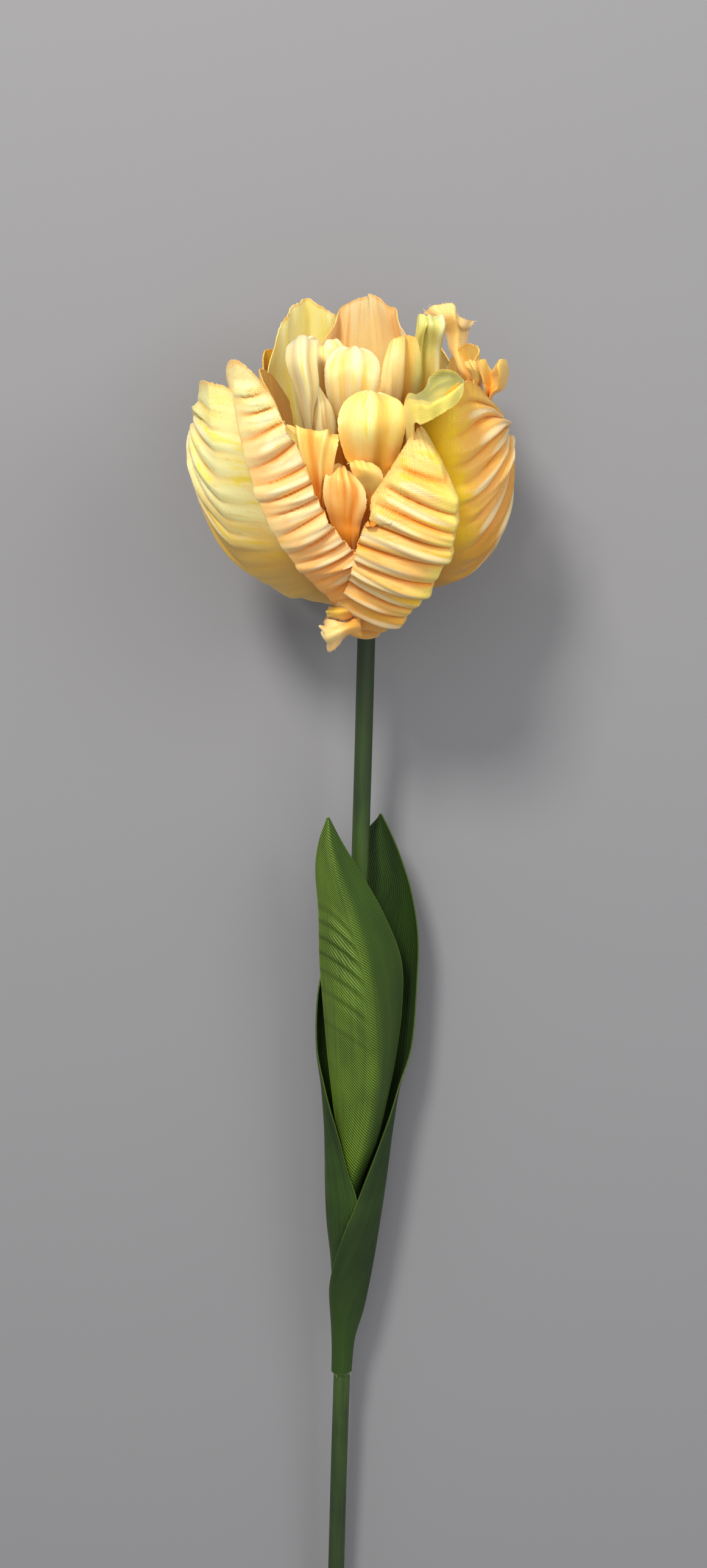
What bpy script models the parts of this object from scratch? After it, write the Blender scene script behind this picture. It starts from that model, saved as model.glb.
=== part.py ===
"""Artificial parrot tulip: one fabric flower head on a wired plastic stem with two fabric leaves.

The stem lies on the surface z = 0 along Y, with the flower at the +Y end, its base HEAD_LIFT above the
surface, and the cut end of the stem on the surface. Lengths are millimetres until a mesh is made.
"""
import math

import bmesh
import bpy
import numpy as np
from mathutils import Matrix

MM = 0.001

STEM_LENGTH = 500.0        # from the base of the flower to the cut end
STEM_RADIUS = 2.7          # plastic coat, outside
BORE_RADIUS = 1.4          # hole in the coat
WIRE_RADIUS = 1.1          # steel wire in the bore
STEM_PLUG = 9.0            # length of stem that sits in the flower's socket
WIRE_PLUG = 8.0            # how far the wire reaches past the flower's base
CLEARANCE = 0.3            # gap between pieces that touch
HEAD_LIFT = 25.1           # height of the flower's base above the surface
NOD = 22.0                 # degrees that the flower's axis tips up from the stem
LEAN = -3.0                # degrees that the flower leans to the left
PETAL_THICKNESS = 0.8      # fabric with its stiffening, as the closed solid holds it
LEAF_THICKNESS = 0.8

SLOPE = math.asin((HEAD_LIFT - STEM_RADIUS) / STEM_LENGTH)

RIDGE_START = 0.25         # share of a petal's half width, from its midrib, where its crimps begin
RIDGE_ROUNDNESS = 0.75     # below 1, round crests and sharp valleys
CURVE_STEPS = 24           # points that a smooth curve is read at, between two given ones
LENGTH_STEPS = 240         # places along a petal where its section is worked out
WIDTH_STEPS = 60           # places across half of a petal

# Sideways bow of the stem, from the flower down: (place along the stem, sideways place)
STEM_LINE = ((9, 0), (0, 0), (-90, -2.4), (-180, -5.4), (-270, -8.4), (-360, -10.8), (-430, -12.2),
             (-500, -13.4))

# Receptacle that holds the petals: (radius, height) about the flower's axis
CORE = ((0, -5), (4.5, -5), (6, -3), (9, 2), (14, 10), (20, 22), (23, 36), (22, 48), (17, 58), (9, 64),
        (0, 66))

# Front leaf: place along the stem, then five (sideways place, height above the stem's axis) from its left
# edge over the midrib to its right edge
FRONT_LEAF = (
    (-65, (-12.8, 9), (-12.5, 9.3), (-12.3, 9.4), (-12.1, 9.3), (-11.8, 9)),
    (-73, (-15, 8), (-13.8, 9.3), (-12.3, 10.2), (-10.8, 9.6), (-9.2, 8.6)),
    (-82, (-16, 7), (-13.5, 9.8), (-10.2, 11.6), (-6, 10), (-2.6, 8)),
    (-96, (-15.2, 5.5), (-11, 10), (-5.2, 13), (0.4, 10.6), (5, 6.6)),
    (-113, (-15, 3.5), (-9.5, 10), (-0.8, 14), (5.6, 9.6), (10.9, 3)),
    (-130, (-13.8, 2.4), (-8.5, 9.4), (1.2, 13.6), (7.6, 8), (11.3, 1)),
    (-147, (-12.4, 2), (-7.8, 8.2), (2.2, 12), (7, 7), (9.4, 0.8)),
    (-162, (-10.8, 2.4), (-7, 6.8), (1, 9.8), (5, 6), (6.6, 1.4)),
    (-177, (-9.4, 2), (-7.6, 5), (-2, 7), (2, 4.6), (3.4, 1)),
    (-192, (-9.9, 0.4), (-8.7, 3.2), (-5.8, 4.5), (-3.0, 3.2), (-1.8, 0.4)),
    (-204, (-10.2, -0.6), (-9.1, 2.7), (-6.2, 4.0), (-3.4, 2.7), (-2.4, -0.6)),
)

# Rear leaf, rolled round the stem: place along the stem, its reach to the left, right, back and front of
# the stem's axis, and the angles of its left and right margins, counted from the back through the right
REAR_LEAF = (
    (-68, 5, 7, 6, 5, 30, 42),
    (-80, 6, 13, 7, 5, 18, 66),
    (-92, 7, 17.5, 8, 5, -8, 72),
    (-107, 9, 20, 9, 5, -55, 76),
    (-125, 12, 20, 9.5, 5, -88, 79),
    (-143, 12, 19, 9.5, 6, -98, 84),
    (-157, 10, 15.5, 9, 7, -118, 102),
    (-171, 8.6, 13.8, 8.5, 8, -150, 127),
    (-182, 8, 12.9, 8, 8, -172, 146),
    (-193, 7.6, 12, 7.6, 7.8, -192, 164),
    (-205, 6.8, 10.8, 7, 7.2, -198, 186),
    (-219, 5.8, 9.4, 6, 6.2, -200, 220),
    (-240, 4.6, 6.4, 4.7, 4.9, -200, 268),
    (-260, 3.5, 3.5, 3.5, 3.5, -200, 280),
)
OVERLAP_STEP = 1.3         # how far the rear leaf's right margin stands off where it laps over the left

COLOURS = {
    "bloom": (0.90, 0.62, 0.22),
    "stem": (0.07, 0.13, 0.035),
    "stem_wire": (0.45, 0.45, 0.46),
    "leaf_front": (0.066, 0.127, 0.011),
    "leaf_rear": (0.014, 0.042, 0.006),
}


def even(width):
    """Both halves of a petal as wide as each other."""
    return dict(left_width=width, right_width=width)


def cup(*angles, turn=0):
    """The same bend all the way up a petal, turned about its midrib."""
    left = tuple(angle - turn for angle in angles)
    right = tuple(angle + turn for angle in angles)
    return dict(left_bend=(left, left), right_bend=(right, right))


def belly(angles):
    """A bend that flattens a little from a petal's root to its tip."""
    return dict(left_bend=angles, right_bend=angles)


PETALS = {
    "outer_left": dict(
        midrib=((-74, 3, 2), (-70, 18, 8), (-66, 31, 18), (-61, 41, 32), (-58, 46, 51), (-58, 47, 70),
                (-61, 46, 91)),
        left_width=(4, 20, 26, 26, 23, 19, 15), right_width=(4, 18, 26, 28, 28, 26, 20),
        left_bend=((10, 50, 80), (-10, 20, 50), (-20, 10, 40), (0, 20, 40)),
        right_bend=((20, 60, 90), (30, 60, 90), (30, 60, 80)),
        drop=(0.10, 0.22), ridges=9, ridge_height=1.5, ridge_rise=0.28),
    "outer_front_left": dict(
        midrib=((-10, 3, 4), (-12, 18, 9), (-18, 29, 17), (-25, 37, 28), (-32, 44, 40), (-37, 47, 54),
                (-44, 46, 68), (-51, 43, 84), (-54, 40, 97)),
        left_width=(4, 10, 14, 16, 16, 13, 10, 9, 9), right_width=(6, 14, 19, 22, 24, 25, 24, 20, 14),
        left_bend=((40, 90, 120), (50, 110, 140), (50, 110, 130), (10, 40, 60)),
        right_bend=((0, 20, 40), (5, 25, 40), (0, 20, 30), (10, 20, 30)),
        drop=(0.12, 0.05), ridges=11, ridge_height=1.5, ridge_rise=0.2),
    "outer_front_right": dict(
        midrib=((10, 3, 2), (10, 17, 5), (14, 29, 12), (22, 40, 25), (29, 47, 40), (33, 48, 55), (32, 42, 67),
                (29, 33, 76)),
        left_width=(4, 11, 15, 20, 26, 29, 22, 9), right_width=(4, 12, 17, 21, 21, 18, 12, 7),
        left_bend=((0, 30, 40), (5, 30, 40), (5, 30, 40), (10, 20, 30)),
        right_bend=((40, 90, 110), (30, 90, 120), (30, 90, 120), (20, 60, 80)),
        drop=(0.06, 0.12), ridges=10, ridge_height=1.5, ridge_rise=0.2),
    "outer_right": dict(
        midrib=((75, 3, 4), (72, 17, 9), (64, 30, 17), (57, 38, 30), (53, 40, 45), (51, 39, 60), (52, 38, 73),
                (55, 38, 83)),
        left_width=(5, 14, 18, 18, 17, 15, 13, 10), right_width=(5, 17, 25, 30, 31, 30, 27, 19),
        left_bend=((10, 40, 60), (20, 60, 90), (20, 60, 90)),
        right_bend=((0, 40, 80), (-25, 15, 60), (-30, 5, 50), (-20, 0, 20)),
        drop=(0.20, 0.14), ridges=10, ridge_height=1.5, ridge_rise=0.28),
    "outer_back_right": dict(
        midrib=((140, 3, 0), (142, 22, 3), (145, 38, 12), (146, 47, 28), (146, 50, 46), (146, 47, 60),
                (146, 42, 72)),
        **even((5, 18, 26, 29, 28, 24, 16)), **belly(((10, 50, 80), (10, 50, 70), (10, 40, 50))),
        drop=(0.2, 0.2), ridges=6, ridge_height=1.4, ridge_rise=0.28),
    "outer_back_left": dict(
        midrib=((-148, 3, 0), (-148, 22, 3), (-148, 38, 12), (-148, 47, 28), (-148, 50, 44), (-148, 47, 56),
                (-148, 42, 66)),
        **even((5, 18, 26, 29, 28, 24, 16)), **belly(((10, 50, 80), (10, 50, 70), (10, 40, 50))),
        drop=(0.2, 0.2), ridges=6, ridge_height=1.4, ridge_rise=0.28),
    # Middle layer
    "back_left": dict(
        midrib=((-150, 3, 4), (-148, 14, 14), (-148, 24, 38), (-149, 28, 66), (-150, 30, 93)),
        **even((4, 12, 17, 20, 16)), left_bend=((15, 35, 40),) * 2, right_bend=((-10, 30, 40),) * 2,
        drop=(0.15, 0.15)),
    "back": dict(
        midrib=((172, 3, 4), (172, 14, 14), (170, 22, 40), (169, 26, 68), (169, 28, 93)),
        **even((4, 12, 18, 24, 17)), **cup(15, 35, 40), drop=(0.2, 0.2)),
    "back_right": dict(
        midrib=((135, 3, 4), (132, 17, 14), (128, 31, 38), (124, 37, 64), (123, 38, 90)),
        **even((4, 12, 16, 19, 15)), **cup(10, 25, 25), drop=(0.1, 0.1), curl=1.0, seed=1),
    "side_right_high": dict(
        midrib=((106, 3, 4), (106, 19, 14), (104, 32, 36), (103, 37, 58), (104, 37, 82)),
        **even((4, 11, 14, 14, 13)), **cup(10, 30, 30), drop=(0.12, 0.12), curl=0.8, seed=2),
    "side_right_low": dict(
        midrib=((92, 3, 4), (92, 21, 12), (92, 37, 32), (93, 43, 54), (94, 43, 78)),
        **even((4, 11, 14, 14, 12)), **cup(10, 20, 10, turn=20), drop=(0.1, 0.1), curl=0.8, seed=3),
    "side_left_back": dict(
        midrib=((-125, 3, 4), (-125, 18, 14), (-125, 28, 36), (-125, 31, 58), (-125, 31, 80)),
        **even((4, 11, 14, 14, 10)), **cup(10, 40, 50), drop=(0.2, 0.2)),
    "side_left": dict(
        midrib=((-92, 3, 4), (-92, 14, 14), (-92, 24, 36), (-92, 27, 58), (-92, 27, 82)),
        **even((4, 11, 14, 14, 10)), **cup(10, 40, 50), drop=(0.2, 0.2)),
    "side_left_low": dict(
        midrib=((-70, 3, 4), (-72, 14, 14), (-75, 25, 34), (-76, 29, 54), (-76, 29, 70)),
        **even((4, 10, 12, 12, 9)), **cup(10, 40, 50), drop=(0.15, 0.15)),
    # Inner bunch
    "inner_left": dict(
        midrib=((-78, 2, 6), (-78, 8, 20), (-78, 15, 45), (-78, 19, 68), (-76, 18, 82), (-72, 14, 92)),
        **even((3, 8, 11, 13, 13, 11)), **cup(10, 40, 60, turn=35), drop=(0.1, 0.1)),
    "inner_back": dict(
        midrib=((-130, 2, 8), (-130, 4, 24), (-130, 7, 50), (-130, 9, 72), (-130, 9, 91)),
        **even((3, 7, 11, 13, 12)), **cup(15, 40, 50), drop=(0.1, 0.1)),
    "inner_top": dict(
        midrib=((-6, 2, 8), (-6, 7, 24), (-6, 12, 50), (-6, 13, 72), (-4, 11, 86), (-4, 8, 92)),
        **even((3, 8, 12, 14, 14, 11)), **cup(10, 45, 70), drop=(0.15, 0.15)),
    "inner_front": dict(
        midrib=((4, 2, 6), (4, 12, 18), (4, 22, 40), (5, 27, 60), (5, 26, 76), (5, 23, 86)),
        **even((3, 9, 13, 15, 15, 12)), **cup(10, 45, 70), drop=(0.15, 0.15)),
    "inner_pointed": dict(
        midrib=((-48, 2, 6), (-48, 9, 20), (-46, 15, 44), (-43, 18, 66), (-42, 17, 84)),
        **even((3, 7, 10, 10, 4)), **cup(10, 40, 50), drop=(0.2, 0.2)),
    "inner_square": dict(
        midrib=((-46, 2, 6), (-45, 14, 16), (-44, 25, 38), (-42, 31, 60), (-42, 33, 79)),
        **even((3, 8, 12, 15, 15)), **cup(10, 15, 25), drop=(0.04, 0.04)),
    "inner_low": dict(
        midrib=((-12, 2, 4), (-12, 16, 12), (-11, 29, 30), (-8, 35, 50), (-7, 36, 70)),
        **even((3, 8, 12, 14, 10)), **cup(10, 40, 50), drop=(0.15, 0.15)),
    "inner_torn": dict(
        midrib=((8, 2, 4), (8, 16, 14), (8, 27, 34), (7, 32, 52), (5, 34, 66)),
        **even((3, 6, 8, 8, 6)), **cup(10, 30, 40), drop=(0.1, 0.1), curl=0.6),
    "inner_right_front": dict(
        midrib=((33, 2, 6), (33, 12, 18), (32, 23, 42), (32, 28, 62), (32, 29, 83)),
        **even((3, 8, 11, 12, 10)), **cup(10, 40, 60), drop=(0.15, 0.15)),
    "rolled_rim": dict(
        midrib=((62, 2, 6), (60, 14, 18), (56, 25, 44), (54, 29, 66), (54, 31, 82), (56, 37, 87)),
        **even((3, 9, 13, 15, 17, 16)), **cup(10, 25, 20), drop=(0.06, 0.06), curl=0.8, seed=4),
    "inner_right": dict(
        midrib=((92, 2, 8), (90, 9, 24), (85, 19, 50), (82, 24, 74), (80, 25, 94)),
        **even((3, 8, 12, 14, 13)), **cup(15, 40, 50), drop=(0.1, 0.1), curl=0.8, seed=5),
    "inner_right_left": dict(
        midrib=((50, 2, 8), (50, 7, 24), (48, 13, 50), (48, 17, 70), (50, 17, 90)),
        **even((3, 7, 11, 12, 9)), **cup(15, 40, 50), drop=(0.12, 0.12)),
    "tail": dict(
        midrib=((6, 24, 12), (-4, 26, 11), (-14, 28, 9), (-23, 31, 7)),
        **even((3, 5, 5, 4)), **cup(10, 10, 10), drop=(0.1, 0.1), curl=0.8, hang=True),
}


def flower_frame():
    """The flower's axis and its directions up from the surface and to the right, with the stem along Y."""
    nod, lean = math.radians(NOD), math.radians(LEAN)
    axis = np.array((math.sin(lean), math.cos(nod) * math.cos(lean), math.sin(nod)))
    axis /= np.linalg.norm(axis)
    front = np.array((0.0, 0.0, 1.0)) - axis * axis[2]
    front /= np.linalg.norm(front)
    return axis, front, np.cross(axis, front)


def ease(x):
    x = np.clip(x, 0, 1)
    return x * x * (3 - 2 * x)


def soft(values, at):
    """Values spread evenly over 0 to 1, read at the given places through a smooth curve."""
    values = np.array(values, float)
    last = len(values) - 1
    slope = np.gradient(values, axis=0)
    place = np.clip(at, 0, 1) * last
    low = np.clip(place.astype(int), 0, last - 1)
    t = (place - low).reshape(low.shape + (1,) * (values.ndim - 1))
    return ((2 * t**3 - 3 * t**2 + 1) * values[low] + (t**3 - 2 * t**2 + t) * slope[low]
            + (3 * t**2 - 2 * t**3) * values[low + 1] + (t**3 - t**2) * slope[low + 1])


def even_curve(points, count):
    """Points spaced evenly along a smooth curve through the given ones."""
    points = np.array(points, float)
    ends = np.vstack((2 * points[0] - points[1], points, 2 * points[-1] - points[-2]))
    fine = []
    for before, start, end, after in zip(ends, ends[1:], ends[2:], ends[3:]):
        slope = end - before
        curve = 2 * before - 5 * start + 4 * end - after
        twist = 3 * start - before - 3 * end + after
        for t in np.linspace(0, 1, CURVE_STEPS, endpoint=False):
            fine.append(start + 0.5 * (slope * t + curve * t**2 + twist * t**3))
    fine = np.array(fine + [points[-1]])
    reach = np.concatenate(((0,), np.cumsum(np.linalg.norm(np.diff(fine, axis=0), axis=1))))
    even = np.linspace(0, reach[-1], count)
    return np.stack([np.interp(even, reach, fine[:, k]) for k in range(3)], 1)


def bend_section(table, along, across):
    """Sideways and inward reach of a half section of width 1, bent by the angles in the table."""
    table = np.array(table, float)
    rows = np.stack([soft(row, across) for row in table])
    place = np.clip(along, 0, 1) * (len(table) - 1)
    low = np.clip(place.astype(int), 0, len(table) - 2)
    mix = ease(place - low)[:, None]
    angle = np.radians(rows[low] * (1 - mix) + rows[low + 1] * mix)

    def reach(slope):
        steps = (slope[:, 1:] + slope[:, :-1]) / 2 / (len(across) - 1)
        return np.concatenate((np.zeros((len(along), 1)), np.cumsum(steps, 1)), 1)

    return reach(np.cos(angle)), reach(np.sin(angle))


def petal_grid(midrib, left_width, right_width, left_bend, right_bend, drop, ridges=0, ridge_height=0.0,
               ridge_rise=0.0, curl=0.0, seed=0, hang=False, columns=8, rows=12, crowd=1.0):
    """Middle surface of a petal as a grid of points, with its root row and its left margin first."""
    axis, front, right = flower_frame()
    u, p = np.meshgrid(np.linspace(-1, 1, columns + 1), 1 - (1 - np.linspace(0, 1, rows + 1))**crowd)
    side = np.abs(u)
    v = p + ridge_rise * side**1.2 * np.sin(math.pi * p)
    v = v * (1 - np.where(u < 0, *drop) * side**2.2)
    along, across = np.linspace(0, 1, LENGTH_STEPS), np.linspace(0, 1, WIDTH_STEPS)
    points = []
    for azimuth, radius, height in midrib:
        turn = math.radians(azimuth)
        points.append(radius * (math.cos(turn) * front + math.sin(turn) * right) + height * axis)
    spine = even_curve(points, LENGTH_STEPS)
    tangent = np.gradient(spine, axis=0)
    tangent /= np.linalg.norm(tangent, axis=1)[:, None]
    azimuth = np.radians(soft([place[0] for place in midrib], along))[:, None]
    if hang:
        out = np.cos(azimuth) * front + np.sin(azimuth) * right
        out = out - (out * tangent).sum(1)[:, None] * tangent
        out /= np.linalg.norm(out, axis=1)[:, None]
        sideways = np.cross(tangent, out)
    else:
        sideways = np.cos(azimuth) * right - np.sin(azimuth) * front
        sideways -= (sideways * tangent).sum(1)[:, None] * tangent
        sideways /= np.linalg.norm(sideways, axis=1)[:, None]
        out = np.cross(sideways, tangent)
    row = np.clip(v, 0, 1) * (LENGTH_STEPS - 1)
    column = side * (WIDTH_STEPS - 1)
    row_low = np.clip(row.astype(int), 0, LENGTH_STEPS - 2)
    column_low = np.clip(column.astype(int), 0, WIDTH_STEPS - 2)
    row_mix, column_mix = row - row_low, column - column_low

    def line(values):
        mix = row_mix[..., None] if values.ndim == 2 else row_mix
        return values[row_low] * (1 - mix) + values[row_low + 1] * mix

    def table(values):
        ends = []
        for place in (row_low, row_low + 1):
            near, far = values[place, column_low], values[place, column_low + 1]
            ends.append(near * (1 - column_mix) + far * column_mix)
        return ends[0] * (1 - row_mix) + ends[1] * row_mix

    left, left_in = bend_section(left_bend, along, across)
    right_out, right_in = bend_section(right_bend, along, across)
    left_w, right_w = soft(left_width, along), soft(right_width, along)
    beside = np.where(u < 0, -table(left) * line(left_w), table(right_out) * line(right_w))
    inward = np.where(u < 0, table(left_in) * line(left_w), table(right_in) * line(right_w))
    grid = line(spine) + beside[..., None] * line(sideways) - inward[..., None] * line(out)
    normal = grid_normals(grid)
    if ridges:
        height = ridge_height * (0.85 + 0.25 * np.sin(2.4 * np.floor(ridges * p)))
        lift = (np.abs(np.sin(math.pi * ridges * p))**RIDGE_ROUNDNESS - 0.5) * height
        lift *= ease((side - RIDGE_START) / 0.5) * ease((p - 0.03) / 0.15) * ease((0.99 - p) / 0.12)
        grid = grid + normal * lift[..., None]
    if curl:
        wave = np.sin(9 * v + seed) * ease((side - 0.5) / 0.5)
        wave += 0.6 * np.sin(10 * u + 1.7 * seed) * ease((p - 0.7) / 0.3)
        grid = grid + normal * (curl * wave)[..., None]
    return grid


def grid_normals(grid):
    normal = np.cross(np.gradient(grid, axis=1), np.gradient(grid, axis=0))
    return normal / np.maximum(np.linalg.norm(normal, axis=2), 1e-9)[..., None]


def solid_from_rings(name, points, faces):
    mesh = bpy.data.meshes.new(name)
    mesh.from_pydata((np.asarray(points) * MM).tolist(), [], faces)
    piece = bpy.data.objects.new(name, mesh)
    bpy.context.scene.collection.objects.link(piece)
    return piece


def shell(name, grid, thickness):
    """Closed sheet round a grid of middle points, split into the same triangles on both faces."""
    rows, columns = grid.shape[:2]
    half = grid_normals(grid) * thickness / 2
    points = np.concatenate(((grid + half).reshape(-1, 3), (grid - half).reshape(-1, 3)))
    under = rows * columns
    faces = []
    for i in range(rows - 1):
        for j in range(columns - 1):
            a = i * columns + j
            b, c, d = a + 1, a + columns + 1, a + columns
            faces += [(a, b, c), (a, c, d)]
            faces += [(under + c, under + b, under + a), (under + d, under + c, under + a)]
    rim = list(range(columns))
    rim += [i * columns + columns - 1 for i in range(1, rows)]
    rim += [(rows - 1) * columns + j for j in range(columns - 2, -1, -1)]
    rim += [i * columns for i in range(rows - 2, 0, -1)]
    for a, b in zip(rim, rim[1:] + rim[:1]):
        faces += [(b, a, under + a), (b, under + a, under + b)]
    return solid_from_rings(name, points, faces)


def lathe(name, profile, sides=16):
    """Solid turned about the flower's axis, with its first and last points on the axis."""
    axis, front, right = flower_frame()
    points = [profile[0][1] * axis]
    for radius, height in profile[1:-1]:
        for k in range(sides):
            turn = 2 * math.pi * k / sides
            points.append(radius * (math.cos(turn) * front + math.sin(turn) * right) + height * axis)
    points.append(profile[-1][1] * axis)
    top = len(points) - 1
    faces = []
    for k in range(sides):
        following = (k + 1) % sides
        faces.append((0, 1 + following, 1 + k))
        for ring in range(len(profile) - 3):
            low, high = 1 + ring * sides, 1 + (ring + 1) * sides
            faces.append((low + k, low + following, high + following, high + k))
        faces.append((top, top - sides + k, top - sides + following))
    return solid_from_rings(name, points, faces)


def stem_places(start, end, count):
    """Points evenly along the stem's centre line, in the stem's own frame."""
    line = even_curve([(x, y, 0) for y, x in STEM_LINE], 200)
    y = np.linspace(start, end, count)
    return np.stack((np.interp(-y, -line[:, 1], line[:, 0]), y, np.zeros(count)), 1)


def rings_round(line, radius, sides):
    rings = []
    direction = np.gradient(line, axis=0)
    for centre, along in zip(line, direction):
        along = along / np.linalg.norm(along)
        up = np.array((0.0, 0.0, 1.0))
        beside = np.cross(along, up)
        for k in range(sides):
            turn = 2 * math.pi * k / sides - math.pi / 2
            rings.append(centre + radius * (math.cos(turn) * beside + math.sin(turn) * up))
    return rings


def tube(name, start, end, radius, bore=0.0, sides=14, count=13):
    """Rod along the stem's line, with a bore from end to end if one is given."""
    line = stem_places(start, end, count)
    points = rings_round(line, radius, sides)
    inner = len(points)
    if bore:
        points += rings_round(line, bore, sides)
    faces = []
    for i in range(count - 1):
        for k in range(sides):
            a, b = i * sides + k, i * sides + (k + 1) % sides
            faces.append((a, b, b + sides, a + sides))
            if bore:
                faces.append((inner + a + sides, inner + b + sides, inner + b, inner + a))
    last = (count - 1) * sides
    if bore:
        for k in range(sides):
            following = (k + 1) % sides
            faces.append((inner + k, inner + following, following, k))
            faces.append((last + k, last + following, inner + last + following, inner + last + k))
    else:
        faces.append(tuple(reversed(range(sides))))
        faces.append(tuple(range(last, last + sides)))
    piece = solid_from_rings(name, points, faces)
    point_faces_out(piece)
    return piece


def point_faces_out(piece):
    mesh = bmesh.new()
    mesh.from_mesh(piece.data)
    bmesh.ops.recalc_face_normals(mesh, faces=mesh.faces)
    mesh.to_mesh(piece.data)
    mesh.free()


def front_leaf_grid(columns=10, rows=24):
    table = np.array([[(x, y, z) for x, z in places] for y, *places in FRONT_LEAF], float)
    across = np.stack([soft(row, np.linspace(0, 1, columns + 1)) for row in table])
    return soft(across, np.linspace(0, 1, rows + 1))


def rear_leaf_grid(columns=16, rows=26):
    table = soft(REAR_LEAF, np.linspace(0, 1, rows + 1))
    grid = np.zeros((rows + 1, columns + 1, 3))
    for i, (y, left, right, back, front, first, last) in enumerate(table):
        centre = stem_places(y, y, 1)[0]
        turn = np.radians(np.linspace(first, last, columns + 1))
        beside = np.where(np.sin(turn) > 0, right, left)
        depth = np.where(np.cos(turn) > 0, back, front)
        step = OVERLAP_STEP * ease((np.degrees(turn) - 130) / 50) * ease((last - 150) / 40)
        grid[i, :, 0] = centre[0] + (beside + step) * np.sin(turn)
        grid[i, :, 1] = y
        grid[i, :, 2] = -(depth + step) * np.cos(turn)
    return grid


def keep_largest_body(piece):
    """Drops the loose scraps and the sealed hollows that a union leaves."""
    mesh = bmesh.new()
    mesh.from_mesh(piece.data)
    seen, bodies = set(), []
    for start in mesh.faces:
        if start in seen:
            continue
        body, edge_of_body = [], [start]
        seen.add(start)
        while edge_of_body:
            face = edge_of_body.pop()
            body.append(face)
            for edge in face.edges:
                for other in edge.link_faces:
                    if other not in seen:
                        seen.add(other)
                        edge_of_body.append(other)
        bodies.append(body)
    bodies.sort(key=len)
    for body in bodies[:-1]:
        bmesh.ops.delete(mesh, geom=body, context="FACES")
    bmesh.ops.triangulate(mesh, faces=mesh.faces)
    mesh.to_mesh(piece.data)
    mesh.free()


def apply_modifiers(piece):
    seen = piece.evaluated_get(bpy.context.evaluated_depsgraph_get())
    applied = bpy.data.meshes.new_from_object(seen)
    piece.modifiers.clear()
    piece.data = applied
    applied.name = piece.name


def pressed_flat(grid):
    """The grid of a petal, raised to the surface where it would reach below it."""
    up = np.array((0.0, math.sin(SLOPE), math.cos(SLOPE)))
    short = PETAL_THICKNESS / 2 - (grid @ up + HEAD_LIFT)
    return grid + np.maximum(short, 0)[..., None] * up


def build_bloom():
    """All the petals fused to the receptacle, which has a socket for the stem."""
    bloom = lathe("bloom", CORE)
    point_faces_out(bloom)
    petals = bpy.data.collections.new("petals")
    bpy.context.scene.collection.children.link(petals)
    for name, settings in PETALS.items():
        if "ridges" in settings:
            grid = petal_grid(**settings, columns=8, rows=2 * settings["ridges"])
        else:
            grid = petal_grid(**settings, columns=5, rows=6, crowd=1.4)
        petal = shell(name, pressed_flat(grid), PETAL_THICKNESS)
        petals.objects.link(petal)
        bpy.context.scene.collection.objects.unlink(petal)
    socket = tube("socket", STEM_PLUG + CLEARANCE, -25, STEM_RADIUS + CLEARANCE, count=3)
    fuse = bloom.modifiers.new("petals", "BOOLEAN")
    fuse.operation = "UNION"
    fuse.operand_type = "COLLECTION"
    fuse.collection = petals
    fuse.solver = "MANIFOLD"
    cut = bloom.modifiers.new("socket", "BOOLEAN")
    cut.operation = "DIFFERENCE"
    cut.object = socket
    cut.solver = "MANIFOLD"
    apply_modifiers(bloom)
    for petal in list(petals.objects):
        bpy.data.objects.remove(petal)
    bpy.data.collections.remove(petals)
    bpy.data.objects.remove(socket)
    keep_largest_body(bloom)
    return bloom


def lay_down(piece):
    """From the stem's own frame to its place on the surface, flat where it presses on it."""
    place = Matrix.Translation((0, 0, HEAD_LIFT * MM)) @ Matrix.Rotation(SLOPE, 4, "X")
    piece.data.transform(place)
    for point in piece.data.vertices:
        point.co.z = max(point.co.z, 0.0)


def centre_on_origin(pieces):
    """Puts the origin under the middle of the whole part's box."""
    places = np.array([point.co for piece in pieces for point in piece.data.vertices])
    middle = (places.min(0) + places.max(0)) / 2
    for piece in pieces:
        piece.data.transform(Matrix.Translation((-middle[0], -middle[1], 0)))


def finish(piece, roughness, metallic=0.0):
    material = bpy.data.materials.new(piece.name)
    material.use_nodes = True
    shader = material.node_tree.nodes["Principled BSDF"]
    shader.inputs["Base Color"].default_value = (*COLOURS[piece.name], 1)
    shader.inputs["Roughness"].default_value = roughness
    shader.inputs["Metallic"].default_value = metallic
    piece.data.materials.clear()
    piece.data.materials.append(material)
    piece.data.shade_smooth()
    piece.data.set_sharp_from_angle(angle=math.radians(45))


def main():
    for old in list(bpy.data.objects):
        bpy.data.objects.remove(old)
    bloom = build_bloom()
    stem = tube("stem", STEM_PLUG, -STEM_LENGTH, STEM_RADIUS, bore=BORE_RADIUS)
    wire = tube("stem_wire", WIRE_PLUG, -STEM_LENGTH, WIRE_RADIUS, sides=10)
    front = shell("leaf_front", front_leaf_grid(), LEAF_THICKNESS)
    rear = shell("leaf_rear", rear_leaf_grid(), LEAF_THICKNESS)
    pieces = (bloom, stem, wire, front, rear)
    for piece in pieces:
        lay_down(piece)
    centre_on_origin(pieces)
    finish(bloom, 0.55)
    finish(stem, 0.45)
    finish(wire, 0.35, metallic=1.0)
    finish(front, 0.6)
    finish(rear, 0.6)


main()
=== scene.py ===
# Artificial parrot tulip, lying on a pale table: crimped cloth petals, two cloth leaves and a coated stem
import math
import random

import bpy
import numpy as np
from mathutils import Matrix, Vector


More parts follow.
